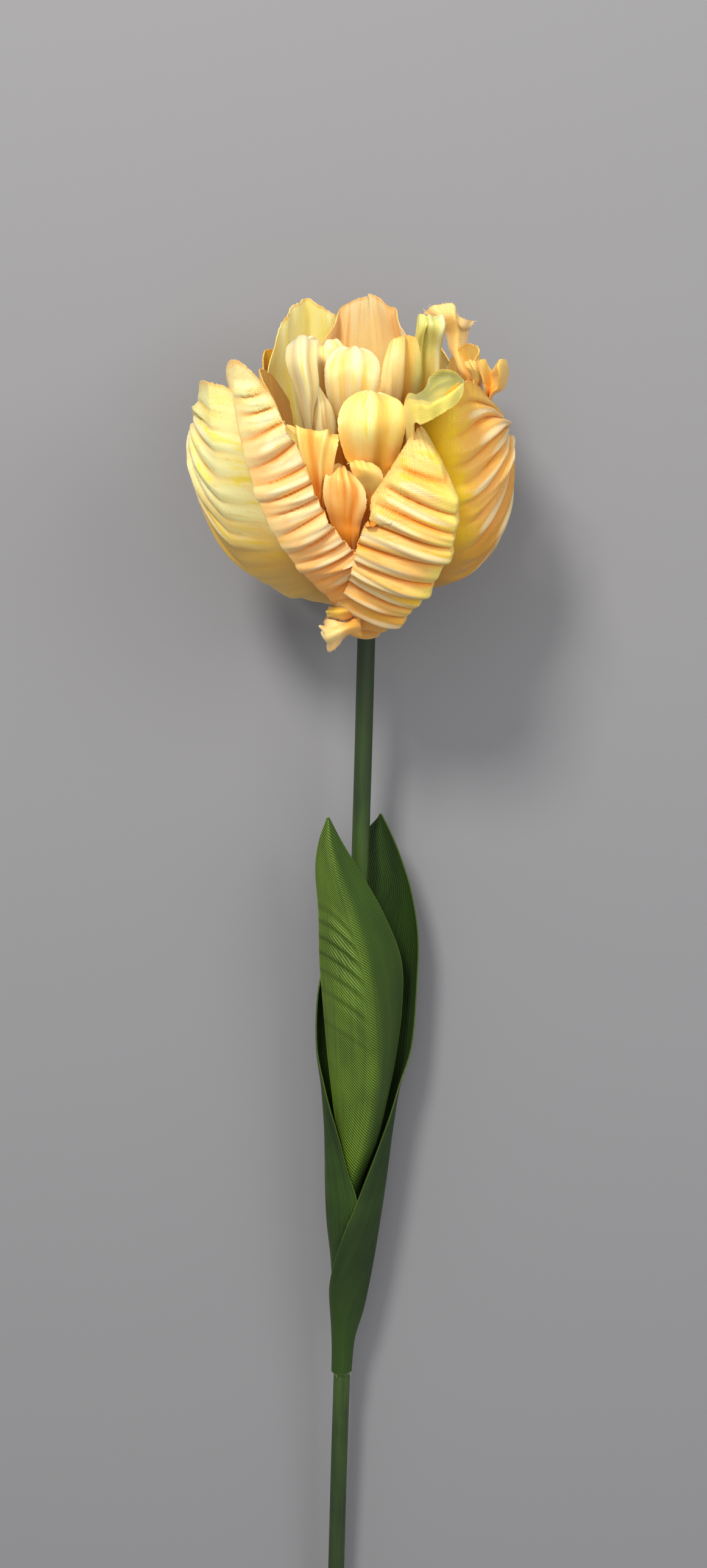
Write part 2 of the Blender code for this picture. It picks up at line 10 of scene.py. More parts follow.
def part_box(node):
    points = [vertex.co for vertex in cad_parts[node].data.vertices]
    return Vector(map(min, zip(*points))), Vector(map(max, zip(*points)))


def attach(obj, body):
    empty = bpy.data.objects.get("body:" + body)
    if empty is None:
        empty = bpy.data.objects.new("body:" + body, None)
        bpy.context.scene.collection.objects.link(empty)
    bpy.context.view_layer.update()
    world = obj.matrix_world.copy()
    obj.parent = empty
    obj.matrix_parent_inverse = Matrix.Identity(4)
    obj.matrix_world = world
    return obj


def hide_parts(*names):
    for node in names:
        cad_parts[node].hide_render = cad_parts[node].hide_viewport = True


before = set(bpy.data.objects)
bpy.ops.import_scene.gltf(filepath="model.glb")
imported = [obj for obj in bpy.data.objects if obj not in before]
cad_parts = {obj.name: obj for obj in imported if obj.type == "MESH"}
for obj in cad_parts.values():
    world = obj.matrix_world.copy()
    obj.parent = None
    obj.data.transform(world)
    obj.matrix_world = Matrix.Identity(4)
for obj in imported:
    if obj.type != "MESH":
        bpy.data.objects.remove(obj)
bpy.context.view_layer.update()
print("frame: loaded", sorted(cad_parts))

mm = 0.001


# Shader maths written as Python: a Signal is one socket, a Finish is one material

class Signal:
    def __init__(self, finish, socket):
        self.finish = finish
        self.socket = socket

    def maths(self, operation, first, second=0.0):
        return self.finish.node("ShaderNodeMath", {"operation": operation}, {0: first, 1: second})

    def __add__(self, other):
        return self.maths("ADD", self, other)

    def __radd__(self, other):
        return self.maths("ADD", other, self)

    def __sub__(self, other):
        return self.maths("SUBTRACT", self, other)

    def __rsub__(self, other):
        return self.maths("SUBTRACT", other, self)

    def __mul__(self, other):
        return self.maths("MULTIPLY", self, other)

    def __neg__(self):
        return self.maths("MULTIPLY", self, -1.0)

    def wave(self):
        return self.maths("SINE", self)

    def clip(self):
        return self.finish.node("ShaderNodeClamp", {}, {0: self})

    def rise(self, low, high):
        return self.finish.node("ShaderNodeMapRange", {"interpolation_type": "SMOOTHSTEP"},
                                {0: self, 1: low, 2: high})


class Finish:
    def __init__(self, name):
        self.material = bpy.data.materials.new(name)
        self.material.use_nodes = True
        self.tree = self.material.node_tree
        self.surface = self.tree.nodes["Principled BSDF"]

    def feed(self, socket, value):
        if isinstance(value, Signal):
            self.tree.links.new(value.socket, socket)
        else:
            socket.default_value = value

    def node(self, kind, settings, values, result=0):
        made = self.tree.nodes.new(kind)
        for key, value in settings.items():
            setattr(made, key, value)
        for key, value in values.items():
            self.feed(made.inputs[key], value)
        return Signal(self, made.outputs[result])

    def mask(self, name):
        return self.node("ShaderNodeAttribute", {"attribute_name": name}, {}, "Fac")

    def place(self, kind="UV"):
        return self.node("ShaderNodeTexCoord", {}, {}, kind)

    def parts(self, vector):
        split = self.node("ShaderNodeSeparateXYZ", {}, {0: vector})
        return split, Signal(self, split.socket.node.outputs[1])

    def join(self, x, y, z=0.0):
        return self.node("ShaderNodeCombineXYZ", {}, {0: x, 1: y, 2: z})

    def stretch(self, vector, x, y):
        return self.node("ShaderNodeVectorMath", {"operation": "MULTIPLY"}, {0: vector, 1: (x, y, 1.0)})

    def noise(self, vector, scale, detail=3.0, rough=0.5):
        return self.node("ShaderNodeTexNoise", {"noise_dimensions": "3D"},
                         {"Vector": vector, "Scale": scale, "Detail": detail, "Roughness": rough})

    def blend(self, first, second, share):
        return self.node("ShaderNodeMix", {"data_type": "RGBA"}, {0: share, 6: first, 7: second}, 2)

    def bump(self, height, distance):
        return self.node("ShaderNodeBump", {}, {"Height": height, "Distance": distance, "Strength": 1.0})

    def speckle(self, first, second, share):
        return self.blend(tint(*first), tint(*second), share)

    def set(self, **values):
        for key, value in values.items():
            self.feed(self.surface.inputs[key.replace("_", " ")], value)


def tint(red, green, blue):
    # a screen colour, 0 to 255, as the shader's own linear colour
    return tuple((c / 255 / 12.92 if c < 10.3 else ((c / 255 + 0.055) / 1.055) ** 2.4)
                 for c in (red, green, blue)) + (1.0,)


# Smooth curves and tables

def ease(x):
    x = np.clip(x, 0, 1)
    return x * x * (3 - 2 * x)


def soft(values, at):
    # values spread evenly over 0 to 1, read at the given places through a smooth curve
    values = np.array(values, float)
    last = len(values) - 1
    slope = np.gradient(values, axis=0)
    place = np.clip(at, 0, 1) * last
    low = np.clip(place.astype(int), 0, last - 1)
    t = (place - low).reshape(low.shape + (1,) * (values.ndim - 1))
    return ((2 * t**3 - 3 * t**2 + 1) * values[low] + (t**3 - 2 * t**2 + t) * slope[low]
            + (3 * t**2 - 2 * t**3) * values[low + 1] + (t**3 - t**2) * slope[low + 1])


def evenCurve(points, count):
    # points spaced evenly along a smooth curve through the given ones
    points = np.array(points, float)
    ends = np.vstack((2 * points[0] - points[1], points, 2 * points[-1] - points[-2]))
    fine = []
    for before, start, end, after in zip(ends, ends[1:], ends[2:], ends[3:]):
        slope = end - before
        curve = 2 * before - 5 * start + 4 * end - after
        twist = 3 * start - before - 3 * end + after
        for t in np.linspace(0, 1, 24, endpoint=False):
            fine.append(start + 0.5 * (slope * t + curve * t**2 + twist * t**3))
    fine = np.array(fine + [points[-1]])
    reach = np.concatenate(((0,), np.cumsum(np.linalg.norm(np.diff(fine, axis=0), axis=1))))
    places = np.linspace(0, reach[-1], count)
    return np.stack([np.interp(places, reach, fine[:, k]) for k in range(3)], 1)


def readTable(values, row, column):
    # values of a table read at places between its rows and columns
    i = np.clip(row.astype(int), 0, values.shape[0] - 2)
    j = np.clip(column.astype(int), 0, values.shape[1] - 2)
    down, across = row - i, column - j
    if values.ndim == 3:
        down, across = down[..., None], across[..., None]
    upper = values[i, j] * (1 - across) + values[i, j + 1] * across
    lower = values[i + 1, j] * (1 - across) + values[i + 1, j + 1] * across
    return upper * (1 - down) + lower * down


def gridNormals(grid):
    normal = np.cross(np.gradient(grid, axis=1), np.gradient(grid, axis=0))
    return normal / np.maximum(np.linalg.norm(normal, axis=2), 1e-9)[..., None]


def ripples(u, v, seed, reach):
    # soft wrinkles of pressed cloth, from -1 to 1: a few waves of drawn directions
    drawn = random.Random(seed)
    total = np.zeros_like(u)
    for k in range(6):
        across, along, start = drawn.uniform(-1, 1), drawn.uniform(-1, 1), drawn.uniform(0, 6.3)
        total += math.sin(k + 1.7) * np.sin(across * reach * u + along * reach * v + start)
    return total / 3


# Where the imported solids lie: the stem's own frame, laid down on the table

stem = {"length": 500.0, "radius": 2.7, "plug": 9.0, "wireRadius": 1.1, "sides": 14,
        "line": ((9, 0), (0, 0), (-90, -2.4), (-180, -5.4), (-270, -8.4), (-360, -10.8), (-430, -12.2),
                 (-500, -13.4))}
flower = {"lift": 25.1, "nod": 22.0, "lean": -3.0, "cloth": 0.36, "clothInSolid": 0.8,
          "ridgeRoundness": 0.85, "ridgeLean": 0.85}

# The camera: place in the stem's own frame, tilt and focal length, for a picture of 1161 x 2576 pixels
view = {"place": (-4.208, 129.148, 690.088), "down": 15.0, "focalPixels": 3743.0, "imageWidth": 1161.0,
        "imageHeight": 2576.0, "sensor": 36.0}

stemSlope = math.asin((flower["lift"] - stem["radius"]) / stem["length"])
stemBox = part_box("stem")
cutEndX = stem["line"][-1][1] - stem["radius"] * math.cos(math.pi / stem["sides"])
cutEndY = -stem["length"] * math.cos(stemSlope) - stem["radius"] * math.sin(stemSlope)
flowerBase = (stemBox[0][0] - cutEndX * mm, stemBox[0][1] - cutEndY * mm, flower["lift"] * mm)
layDown = Matrix.Translation(flowerBase) @ Matrix.Rotation(stemSlope, 4, "X")
print("frame: stem's cut end at", [round(c, 4) for c in layDown @ Vector((0, -stem["length"] * mm, 0))])


def toTable(points):
    # millimetres in the stem's own frame to metres on the table
    points = np.asarray(points, float).reshape(-1, 3) * mm
    turn = np.array(layDown.to_3x3())
    placed = points @ turn.T + np.array(layDown.translation)
    placed[:, 2] = np.maximum(placed[:, 2], 0.0)
    return placed


sharpAngle = {"solid": 50, "sheet": 80}


def makePiece(name, points, faces, finish, node, masks=None, cloth=None):
    mesh = bpy.data.meshes.new(name)
    mesh.from_pydata(toTable(points).tolist(), [], faces)
    for key, values in (masks or {}).items():
        mask = mesh.attributes.new(key, "FLOAT", "POINT")
        mask.data.foreach_set("value", np.ravel(values).astype(np.float32))
    if cloth is not None:
        corners = np.zeros(len(mesh.loops), int)
        mesh.loops.foreach_get("vertex_index", corners)
        mesh.uv_layers.new(name="cloth").data.foreach_set("uv", cloth[corners].astype(np.float32).ravel())
    mesh.materials.append(finish.material)
    mesh.shade_smooth()
    mesh.set_sharp_from_angle(angle=math.radians(sharpAngle["solid" if cloth is None else "sheet"]))
    piece = bpy.data.objects.new(name, mesh)
    bpy.context.scene.collection.objects.link(piece)
    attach(piece, "root")
    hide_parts(node)


def sheetFaces(rows, columns):
    # faces of a closed sheet: its front, its back and the narrow rim between them
    index = np.arange(rows * columns).reshape(rows, columns)
    a, b, c, d = index[:-1, :-1], index[:-1, 1:], index[1:, 1:], index[1:, :-1]
    front = np.stack((a, b, c, d), -1).reshape(-1, 4)
    back = np.stack((d, c, b, a), -1).reshape(-1, 4) + rows * columns
    rim = np.concatenate((index[0], index[1:, -1], index[-1, -2::-1], index[-2:0:-1, 0]))
    after = np.roll(rim, -1)
    side = np.stack((after, rim, rim + rows * columns, after + rows * columns), -1)
    return np.concatenate((front, back, side)).tolist()


def ringFaces(rings, sides, first=0):
    # faces between rings of points, with a cap at each end
    faces = []
    for i in range(rings - 1):
        for k in range(sides):
            a, b = first + i * sides + k, first + i * sides + (k + 1) % sides
            faces.append((a, b, b + sides, a + sides))
    last = first + (rings - 1) * sides
    faces.append(tuple(first + k for k in reversed(range(sides))))
    faces.append(tuple(last + k for k in range(sides)))
    return faces


def clothPlaces(grid, grain):
    # where each point lies on the flat cloth, in millimetres, with the weave turned by the grain's angle
    middle = grid.shape[1] // 2
    across = np.concatenate((np.zeros((len(grid), 1)),
                             np.cumsum(np.linalg.norm(np.diff(grid, axis=1), axis=2), 1)), 1)
    along = np.concatenate((np.zeros((1, grid.shape[1])),
                            np.cumsum(np.linalg.norm(np.diff(grid, axis=0), axis=2), 0)), 0)
    x = across - across[:, middle:middle + 1]
    y = np.repeat(along[:, middle:middle + 1], grid.shape[1], 1)
    turn = math.radians(grain)
    return np.stack((x * math.cos(turn) + y * math.sin(turn), y * math.cos(turn) - x * math.sin(turn)), -1)


def makeSheet(name, grid, thickness, finish, node, masks, grain):
    half = gridNormals(grid) * thickness / 2
    points = np.concatenate(((grid + half).reshape(-1, 3), (grid - half).reshape(-1, 3)))
    cloth = clothPlaces(grid, grain).reshape(-1, 2)
    doubled = {key: np.concatenate((values.ravel(), values.ravel())) for key, values in masks.items()}
    makePiece(name, points, sheetFaces(*grid.shape[:2]), finish, node, doubled,
              np.concatenate((cloth, cloth)))


# Petal cloth: ribbed satin dyed yellow, with peach margins, orange in the crimps partly stained and partly
# painted shade, and paler crests as a painted highlight

clothWeave = {"pitch": 0.44, "rib": 0.6, "height": 0.045 * mm, "shade": 0.26}
# cut edges dyed orange; the crests' colour and share are a painted highlight on the crimps
clothDyeAndHighlight = {"crestHighlight": (255, 242, 196), "crestHighlightShare": 0.6, "cutEdge": (238, 164, 66)}


def dyeAndShade(centre, margin, stainAndShade, tip, root, streak, marginFrom=0.4, stainAndShadeShare=0.8, tipFrom=0.8, rootShadeTo=0.5,
        streaks=0.8):
    # six colours, how strong the crimps' staining (partly painted shade) and the streaks are, and where
    # margin, tip and root begin; the root colour is painted shade
    return dict(centre=centre, margin=margin, stainAndShade=stainAndShade, tip=tip, root=root, streak=streak,
                marginFrom=marginFrom, stainAndShadeShare=stainAndShadeShare, tipFrom=tipFrom, rootShadeTo=rootShadeTo, streaks=streaks)


petalLooks = {
    "leftPetal": dyeAndShade((255, 248, 178), (253, 224, 158), (234, 172, 36), (254, 246, 164), (232, 176, 44),
                     (246, 228, 40), marginFrom=0.5, stainAndShadeShare=0.95, rootShadeTo=0.6, streaks=0.85),
    "rightPetal": dyeAndShade((255, 216, 0), (250, 188, 92), (228, 146, 16), (252, 206, 60), (190, 132, 24),
                      (246, 180, 30), marginFrom=-0.2, stainAndShadeShare=0.95, tipFrom=0.86, rootShadeTo=0.55,
                      streaks=0.25),
    "frontPetal": dyeAndShade((250, 228, 112), (251, 200, 112), (240, 138, 0), (240, 218, 124), (244, 168, 56),
                      (250, 206, 10), marginFrom=-0.05, stainAndShadeShare=1.0, rootShadeTo=0.42, streaks=0.9),
    "frontPeach": dyeAndShade((252, 226, 150), (252, 208, 142), (242, 142, 10), (254, 249, 176), (246, 160, 54),
                      (251, 206, 90), marginFrom=-0.1, stainAndShadeShare=1.0, tipFrom=0.74, streaks=0.6),
    "backPetal": dyeAndShade((255, 253, 190), (255, 248, 170), (246, 218, 80), (255, 250, 184), (246, 196, 60),
                     (250, 230, 80), stainAndShadeShare=0.5, tipFrom=0.85, streaks=0.7),
    "backPeach": dyeAndShade((255, 224, 150), (252, 210, 138), (242, 168, 66), (255, 236, 180), (240, 170, 56),
                     (246, 180, 80), marginFrom=0.3, stainAndShadeShare=0.5, tipFrom=0.82, rootShadeTo=0.4),
    "sidePetal": dyeAndShade((251, 212, 122), (252, 214, 152), (238, 156, 44), (253, 220, 150), (240, 156, 36),
                     (246, 182, 60), stainAndShadeShare=0.6, rootShadeTo=0.4, streaks=0.6),
    "creamPetal": dyeAndShade((255, 248, 196), (255, 238, 176), (246, 190, 84), (253, 246, 204), (252, 184, 56),
                      (252, 224, 70), marginFrom=0.35, stainAndShadeShare=0.7, tipFrom=0.78, rootShadeTo=0.3,
                      streaks=0.75),
    "brightPetal": dyeAndShade((255, 250, 164), (253, 228, 138), (246, 182, 50), (253, 248, 190), (251, 146, 6),
                       (250, 224, 30), marginFrom=0.45, stainAndShadeShare=0.75, tipFrom=0.84, rootShadeTo=0.42,
                       streaks=0.85),
    "greenishPetal": dyeAndShade((246, 238, 144), (240, 224, 150), (206, 192, 60), (206, 208, 140), (249, 190, 80),
                         (238, 216, 80), tipFrom=0.75, rootShadeTo=0.6),
    # painted shade: the margin colour darkens the hollow of the rolled lobe, which lies in shade
    "shadedPetal": dyeAndShade((250, 228, 112), (138, 140, 92), (210, 190, 60), (250, 230, 118), (250, 214, 110),
                       (222, 206, 70), marginFrom=0.05, stainAndShadeShare=0.6, tipFrom=1.2, rootShadeTo=0.2,
                       streaks=0.5),
    "ribbedPetal": dyeAndShade((250, 222, 152), (224, 222, 134), (238, 176, 60), (236, 222, 130), (248, 170, 70),
                       (240, 190, 80), marginFrom=0.15, rootShadeTo=0.6),
    "peachPetal": dyeAndShade((253, 208, 120), (253, 216, 140), (242, 150, 30), (253, 224, 150), (249, 156, 34),
                      (249, 182, 56), marginFrom=0.3, rootShadeTo=0.4),
    "orangePetal": dyeAndShade((253, 224, 122), (252, 214, 122), (242, 156, 30), (252, 222, 126), (246, 142, 20),
                       (254, 232, 140), marginFrom=0.35, stainAndShadeShare=0.75, tipFrom=0.85),
    "yellowPetal": dyeAndShade((246, 204, 78), (248, 202, 108), (230, 156, 28), (246, 214, 110), (242, 156, 30),
                       (238, 172, 36), stainAndShadeShare=0.7, streaks=0.6),
}


def petalFinish(name, look):
    finish = Finish(name)
    place = finish.place()
    x, y = finish.parts(place)
    masks = ("margin", "along", "crimp", "rim", "tone")
    margin, along, crimp, rim, tone = (finish.mask(key) for key in masks)
    stripe = finish.join(finish.mask("stripeAcross"), finish.mask("stripeAlong"), tone * 9.0)
    blotch = finish.noise(finish.stretch(place, 1, 0.55), 0.16, 3.0, 0.55)
    streak = finish.noise(stripe, 1.0, 4.0, 0.62)
    fine = finish.noise(stripe, 3.6, 3.0, 0.6)
    outward = margin + (blotch - 0.5) * 0.5 + (streak - 0.5) * 0.3
    edge = outward.rise(look["marginFrom"], look["marginFrom"] + 0.4)
    # painted shade and real staining: the crimps' valleys and the creases darker orange
    deep = (-crimp).rise(-0.3, 0.85)
    stainAndShade = (deep * (0.55 + streak * 0.9)).clip()
    dyed = (streak * 0.75 + blotch * 0.25).rise(0.5, 0.66) * look["streaks"]
    tip = (along + (blotch - 0.5) * 0.3).rise(look["tipFrom"], look["tipFrom"] + 0.2)
    # painted shade: the petals darker and more orange towards the root, where the inside of the flower lies
    # in shade
    root = 1 - (along + (blotch - 0.5) * 0.2).rise(look["rootShadeTo"] - 0.14, look["rootShadeTo"] + 0.1)
    colour = finish.blend(tint(*look["centre"]), tint(*look["margin"]), edge)
    colour = finish.blend(colour, tint(*look["tip"]), tip)
    colour = finish.blend(colour, tint(*look["streak"]), dyed)
    colour = finish.blend(colour, tint(*look["stainAndShade"]), fine.rise(0.54, 0.72) * look["streaks"] * 0.45)
    colour = finish.blend(colour, tint(*look["root"]), root * 0.85)
    # painted highlight: the crests of the crimps paler and creamier, where the satin catches the light
    colour = finish.blend(colour, tint(*clothDyeAndHighlight["crestHighlight"]), crimp.rise(0.7, 1.0) * clothDyeAndHighlight["crestHighlightShare"])
    colour = finish.blend(colour, tint(*look["stainAndShade"]), stainAndShade * look["stainAndShadeShare"])
    cut = (1 - rim.rise(0.0, 0.08)) * (streak * 1.4 - 0.1).clip()
    colour = finish.blend(colour, tint(*clothDyeAndHighlight["cutEdge"]), cut)
    turn = 2 * math.pi / clothWeave["pitch"]
    rib = (x * turn).wave()
    thread = (y * turn * 1.6 + rib * 1.2).wave()
    weave = rib * clothWeave["rib"] + thread * (1 - clothWeave["rib"])
    # painted shade in the grooves of the weave
    grooveShade = (0.5 - weave * 0.5) * clothWeave["shade"]
    colour = finish.blend(colour, tint(*look["stainAndShade"]), grooveShade)
    finish.set(Base_Color=colour, Roughness=0.27 - crimp * 0.08 + blotch * 0.1,
               Normal=finish.bump(weave, clothWeave["height"]),
               Subsurface_Weight=0.25, Subsurface_Radius=(1.0, 0.55, 0.2), Subsurface_Scale=0.7 * mm,
               Sheen_Weight=0.2, Sheen_Roughness=0.4, Sheen_Tint=(1.0, 0.93, 0.75, 1.0),
               Specular_IOR_Level=0.5)
    return finish


petalFinishes = {name: petalFinish(name, look) for name, look in petalLooks.items()}
print("cloth:", len(petalFinishes), "petal finishes")


# Petals. A midrib holds angle, radius and height about the flower's own axis. A net holds rows from the root
# to the tip: millimetres right of the axis, up it and to the front.

def even(width):
    return dict(leftWidth=width, rightWidth=width)


def belly(angles):
    return dict(leftBend=angles, rightBend=angles)


def cup(*angles):
    return belly((angles, angles))


# Upper rows of the folded petals, from the root side to the tip, as points on the photo: x and y of the
# pixel, and the estimated millimetres to the front
picked = {
    "back_right": (
        ((720, 760, -4), (728, 760, -4), (736, 760, -4), (744, 760, -4), (752, 760, -4)),
        ((755, 640, -8), (761, 640, -7), (768, 639, -6), (774, 637, -7), (780, 634, -10)),
        ((747, 601, -14), (753, 603, -12), (760, 605, -11), (767, 606, -12), (774, 606, -15)),
        ((738, 575, -18), (744, 577, -16), (751, 579, -15), (758, 580, -16), (765, 580, -19)),
        ((733, 545, -20), (741, 547, -18), (751, 549, -17), (759, 549, -19), (767, 545, -22)),
        ((712, 524, -20), (726, 520, -18), (745, 520, -17), (757, 536, -18), (773, 535, -23)),
        ((692, 513, -22), (714, 501, -21), (743, 500, -20), (757, 522, -20), (784, 527, -26))),
    "side_right_low": (
        ((788, 740, 2), (792, 740, 1), (796, 740, 0), (800, 740, 0), (804, 740, 1), (808, 740, 0)),
        ((797, 652, 8), (800, 654, 7), (802, 656, 6), (803, 657, 7), (804, 657, 9), (807, 658, 7)),
        ((792, 630, 8), (799, 632, 6), (806, 634, 4), (812, 636, 5), (817, 636, 9), (826, 637, 5)),
        ((788, 612, 7), (796, 614, 5), (805, 618, 3), (812, 624, 4), (820, 618, 10), (834, 615, 4)),
        ((785, 600, 6), (793, 600, 4), (801, 603, 2), (810, 614, 4), (817, 602, 10), (835, 600, 5)),
        ((782, 591, 5), (790, 590, 3), (798, 592, 1), (809, 609, 3), (819, 591, 8), (831, 589, 5))),
    "side_right_lobe": (
        ((770, 720, -2), (778, 720, -3), (786, 720, -4)), ((778, 642, 1), (785, 642, 2), (792, 633, -1)),
        ((774, 622, 1), (786, 621, 3), (798, 620, -1)), ((769, 605, 0), (780, 604, 3), (792, 607, -1)),
        ((766, 594, -3), (774, 592, 0), (784, 599, -4))),
    "inner_back": (
        ((510, 720, 2), (535, 720, 5), (560, 720, 2)), ((497, 645, 3), (530, 645, 6), (566, 640, 3)),
        ((493, 598, 4), (528, 600, 6), (570, 598, 4)), ((495, 570, 5), (528, 572, 3), (568, 575, 4)),
        ((503, 556, 3), (528, 563, 1), (560, 562, 3)), ((512, 552, 1), (529, 560, -1), (552, 555, 1))),
    "inner_top": (
        ((560, 740, 9), (578, 740, 9), (598, 740, 9)), ((543, 680, 11), (578, 680, 11), (612, 680, 12)),
        ((533, 628, 11), (578, 630, 12), (622, 628, 12)), ((535, 598, 8), (578, 600, 11), (623, 598, 9)),
        ((548, 579, 5), (578, 577, 8), (610, 580, 6)), ((565, 571, 4), (578, 569, 5), (593, 571, 4))),
    "inner_front": (
        ((592, 800, 25), (618, 802, 23), (645, 800, 25)),
        ((566, 750, 25), (612, 757, 26), (655, 750, 26)),
        ((555, 700, 24), (611, 705, 28), (667, 698, 25)),
        ((563, 668, 21), (611, 668, 25), (660, 665, 22)),
        ((583, 650, 18), (611, 648, 22), (640, 652, 18)),
        ((600, 644, 16), (611, 642, 17), (622, 644, 16))),
    "inner_pointed": (
        ((525, 760, 14), (540, 760, 16), (555, 760, 14)),
        ((508, 700, 14), (530, 705, 18), (553, 705, 15)),
        ((512, 662, 14), (528, 668, 17), (545, 672, 14)),
        ((517, 640, 13), (523, 642, 14), (532, 650, 13)),
        ((519, 629, 12), (520.5, 628, 12), (523, 632, 12))),
    "inner_square": (
        ((515, 850, 24), (528, 850, 26), (540, 850, 25)),
        ((497, 800, 25), (520, 800, 26), (543, 800, 27)),
        ((480, 750, 24), (512, 752, 25), (550, 755, 27)),
        ((472, 712, 22), (510, 720, 24), (556, 730, 26)),
        ((470, 699, 18), (510, 706, 23), (557, 714, 22))),
    "inner_low": (
        ((560, 905, 29), (575, 905, 30), (590, 900, 31)),
        ((540, 850, 30), (568, 858, 31), (592, 862, 33)),
        ((531, 815, 29), (566, 822, 31), (602, 832, 34)),
        ((534, 785, 27), (564, 792, 30), (600, 808, 32)),
        ((545, 768, 25), (563, 773, 27), (588, 790, 29)),
        ((555, 762, 23), (563, 764, 24), (575, 775, 24))),
    "inner_torn": (
        ((590, 860, 26), (603, 862, 28), (618, 855, 27)),
        ((588, 822, 28), (604, 822, 27), (622, 815, 29)),
        ((583, 790, 27), (604, 795, 28), (630, 792, 31)),
        ((577, 768, 26), (598, 772, 29), (626, 775, 29)),
        ((575, 755, 24), (592, 757, 26), (612, 762, 27))),
    "rolled_rim": (
        ((684, 800, 26), (680, 800, 24), (678, 800, 23), (674, 800, 20), (669, 800, 18), (664, 800, 16)),
        ((680, 703, 34), (670, 684, 30), (668, 681, 28), (664, 673, 24), (664, 667, 22), (666, 661, 20)),
        ((692, 698, 37), (690, 667, 35), (690, 665, 33), (688, 659, 26), (686, 653, 21), (685, 648, 19)),
        ((705, 692, 39), (703, 670, 38), (704, 668, 36), (706, 661, 27), (701, 648, 19), (698, 638, 15)),
        ((717, 685, 39), (716, 661, 39), (717, 660, 36), (718, 656, 24), (711, 634, 15), (707, 617, 13)),
        ((732, 676, 39), (730, 654, 38), (731, 653, 35), (732, 650, 22), (726, 626, 13), (723, 607, 12)),
        ((749, 664, 36), (745, 645, 36), (745, 644, 33), (746, 641, 22), (743, 624, 14), (741, 608, 12)),
        ((758, 651, 34), (754, 637, 33), (754, 636, 31), (755, 634, 24), (754, 624, 18), (753, 616, 16)),
        ((762, 638, 31), (761, 631, 30), (761, 630, 29), (762, 630, 27), (762, 629, 24), (763, 627, 22))),
    "tail_low": (
        ((592, 1042, 32), (592, 1030, 34), (590, 1014, 33)),
        ((575, 1046, 35), (573, 1032, 37), (574, 1018, 34)),
        ((556, 1058, 36), (553, 1040, 38), (556, 1022, 34)),
        ((541, 1067, 34), (535, 1046, 37), (538, 1020, 32)),
        ((546, 1056, 29), (528, 1036, 32), (527, 1022, 29))),
    "tail_high": (
        ((596, 1008, 31), (596, 998, 32), (596, 988, 31)),
        ((576, 1013, 33), (575, 1003, 35), (577, 990, 32)),
        ((556, 1019, 33), (553, 1006, 35), (556, 994, 32)),
        ((540, 1018, 30), (536, 1006, 32), (541, 996, 29))),
}

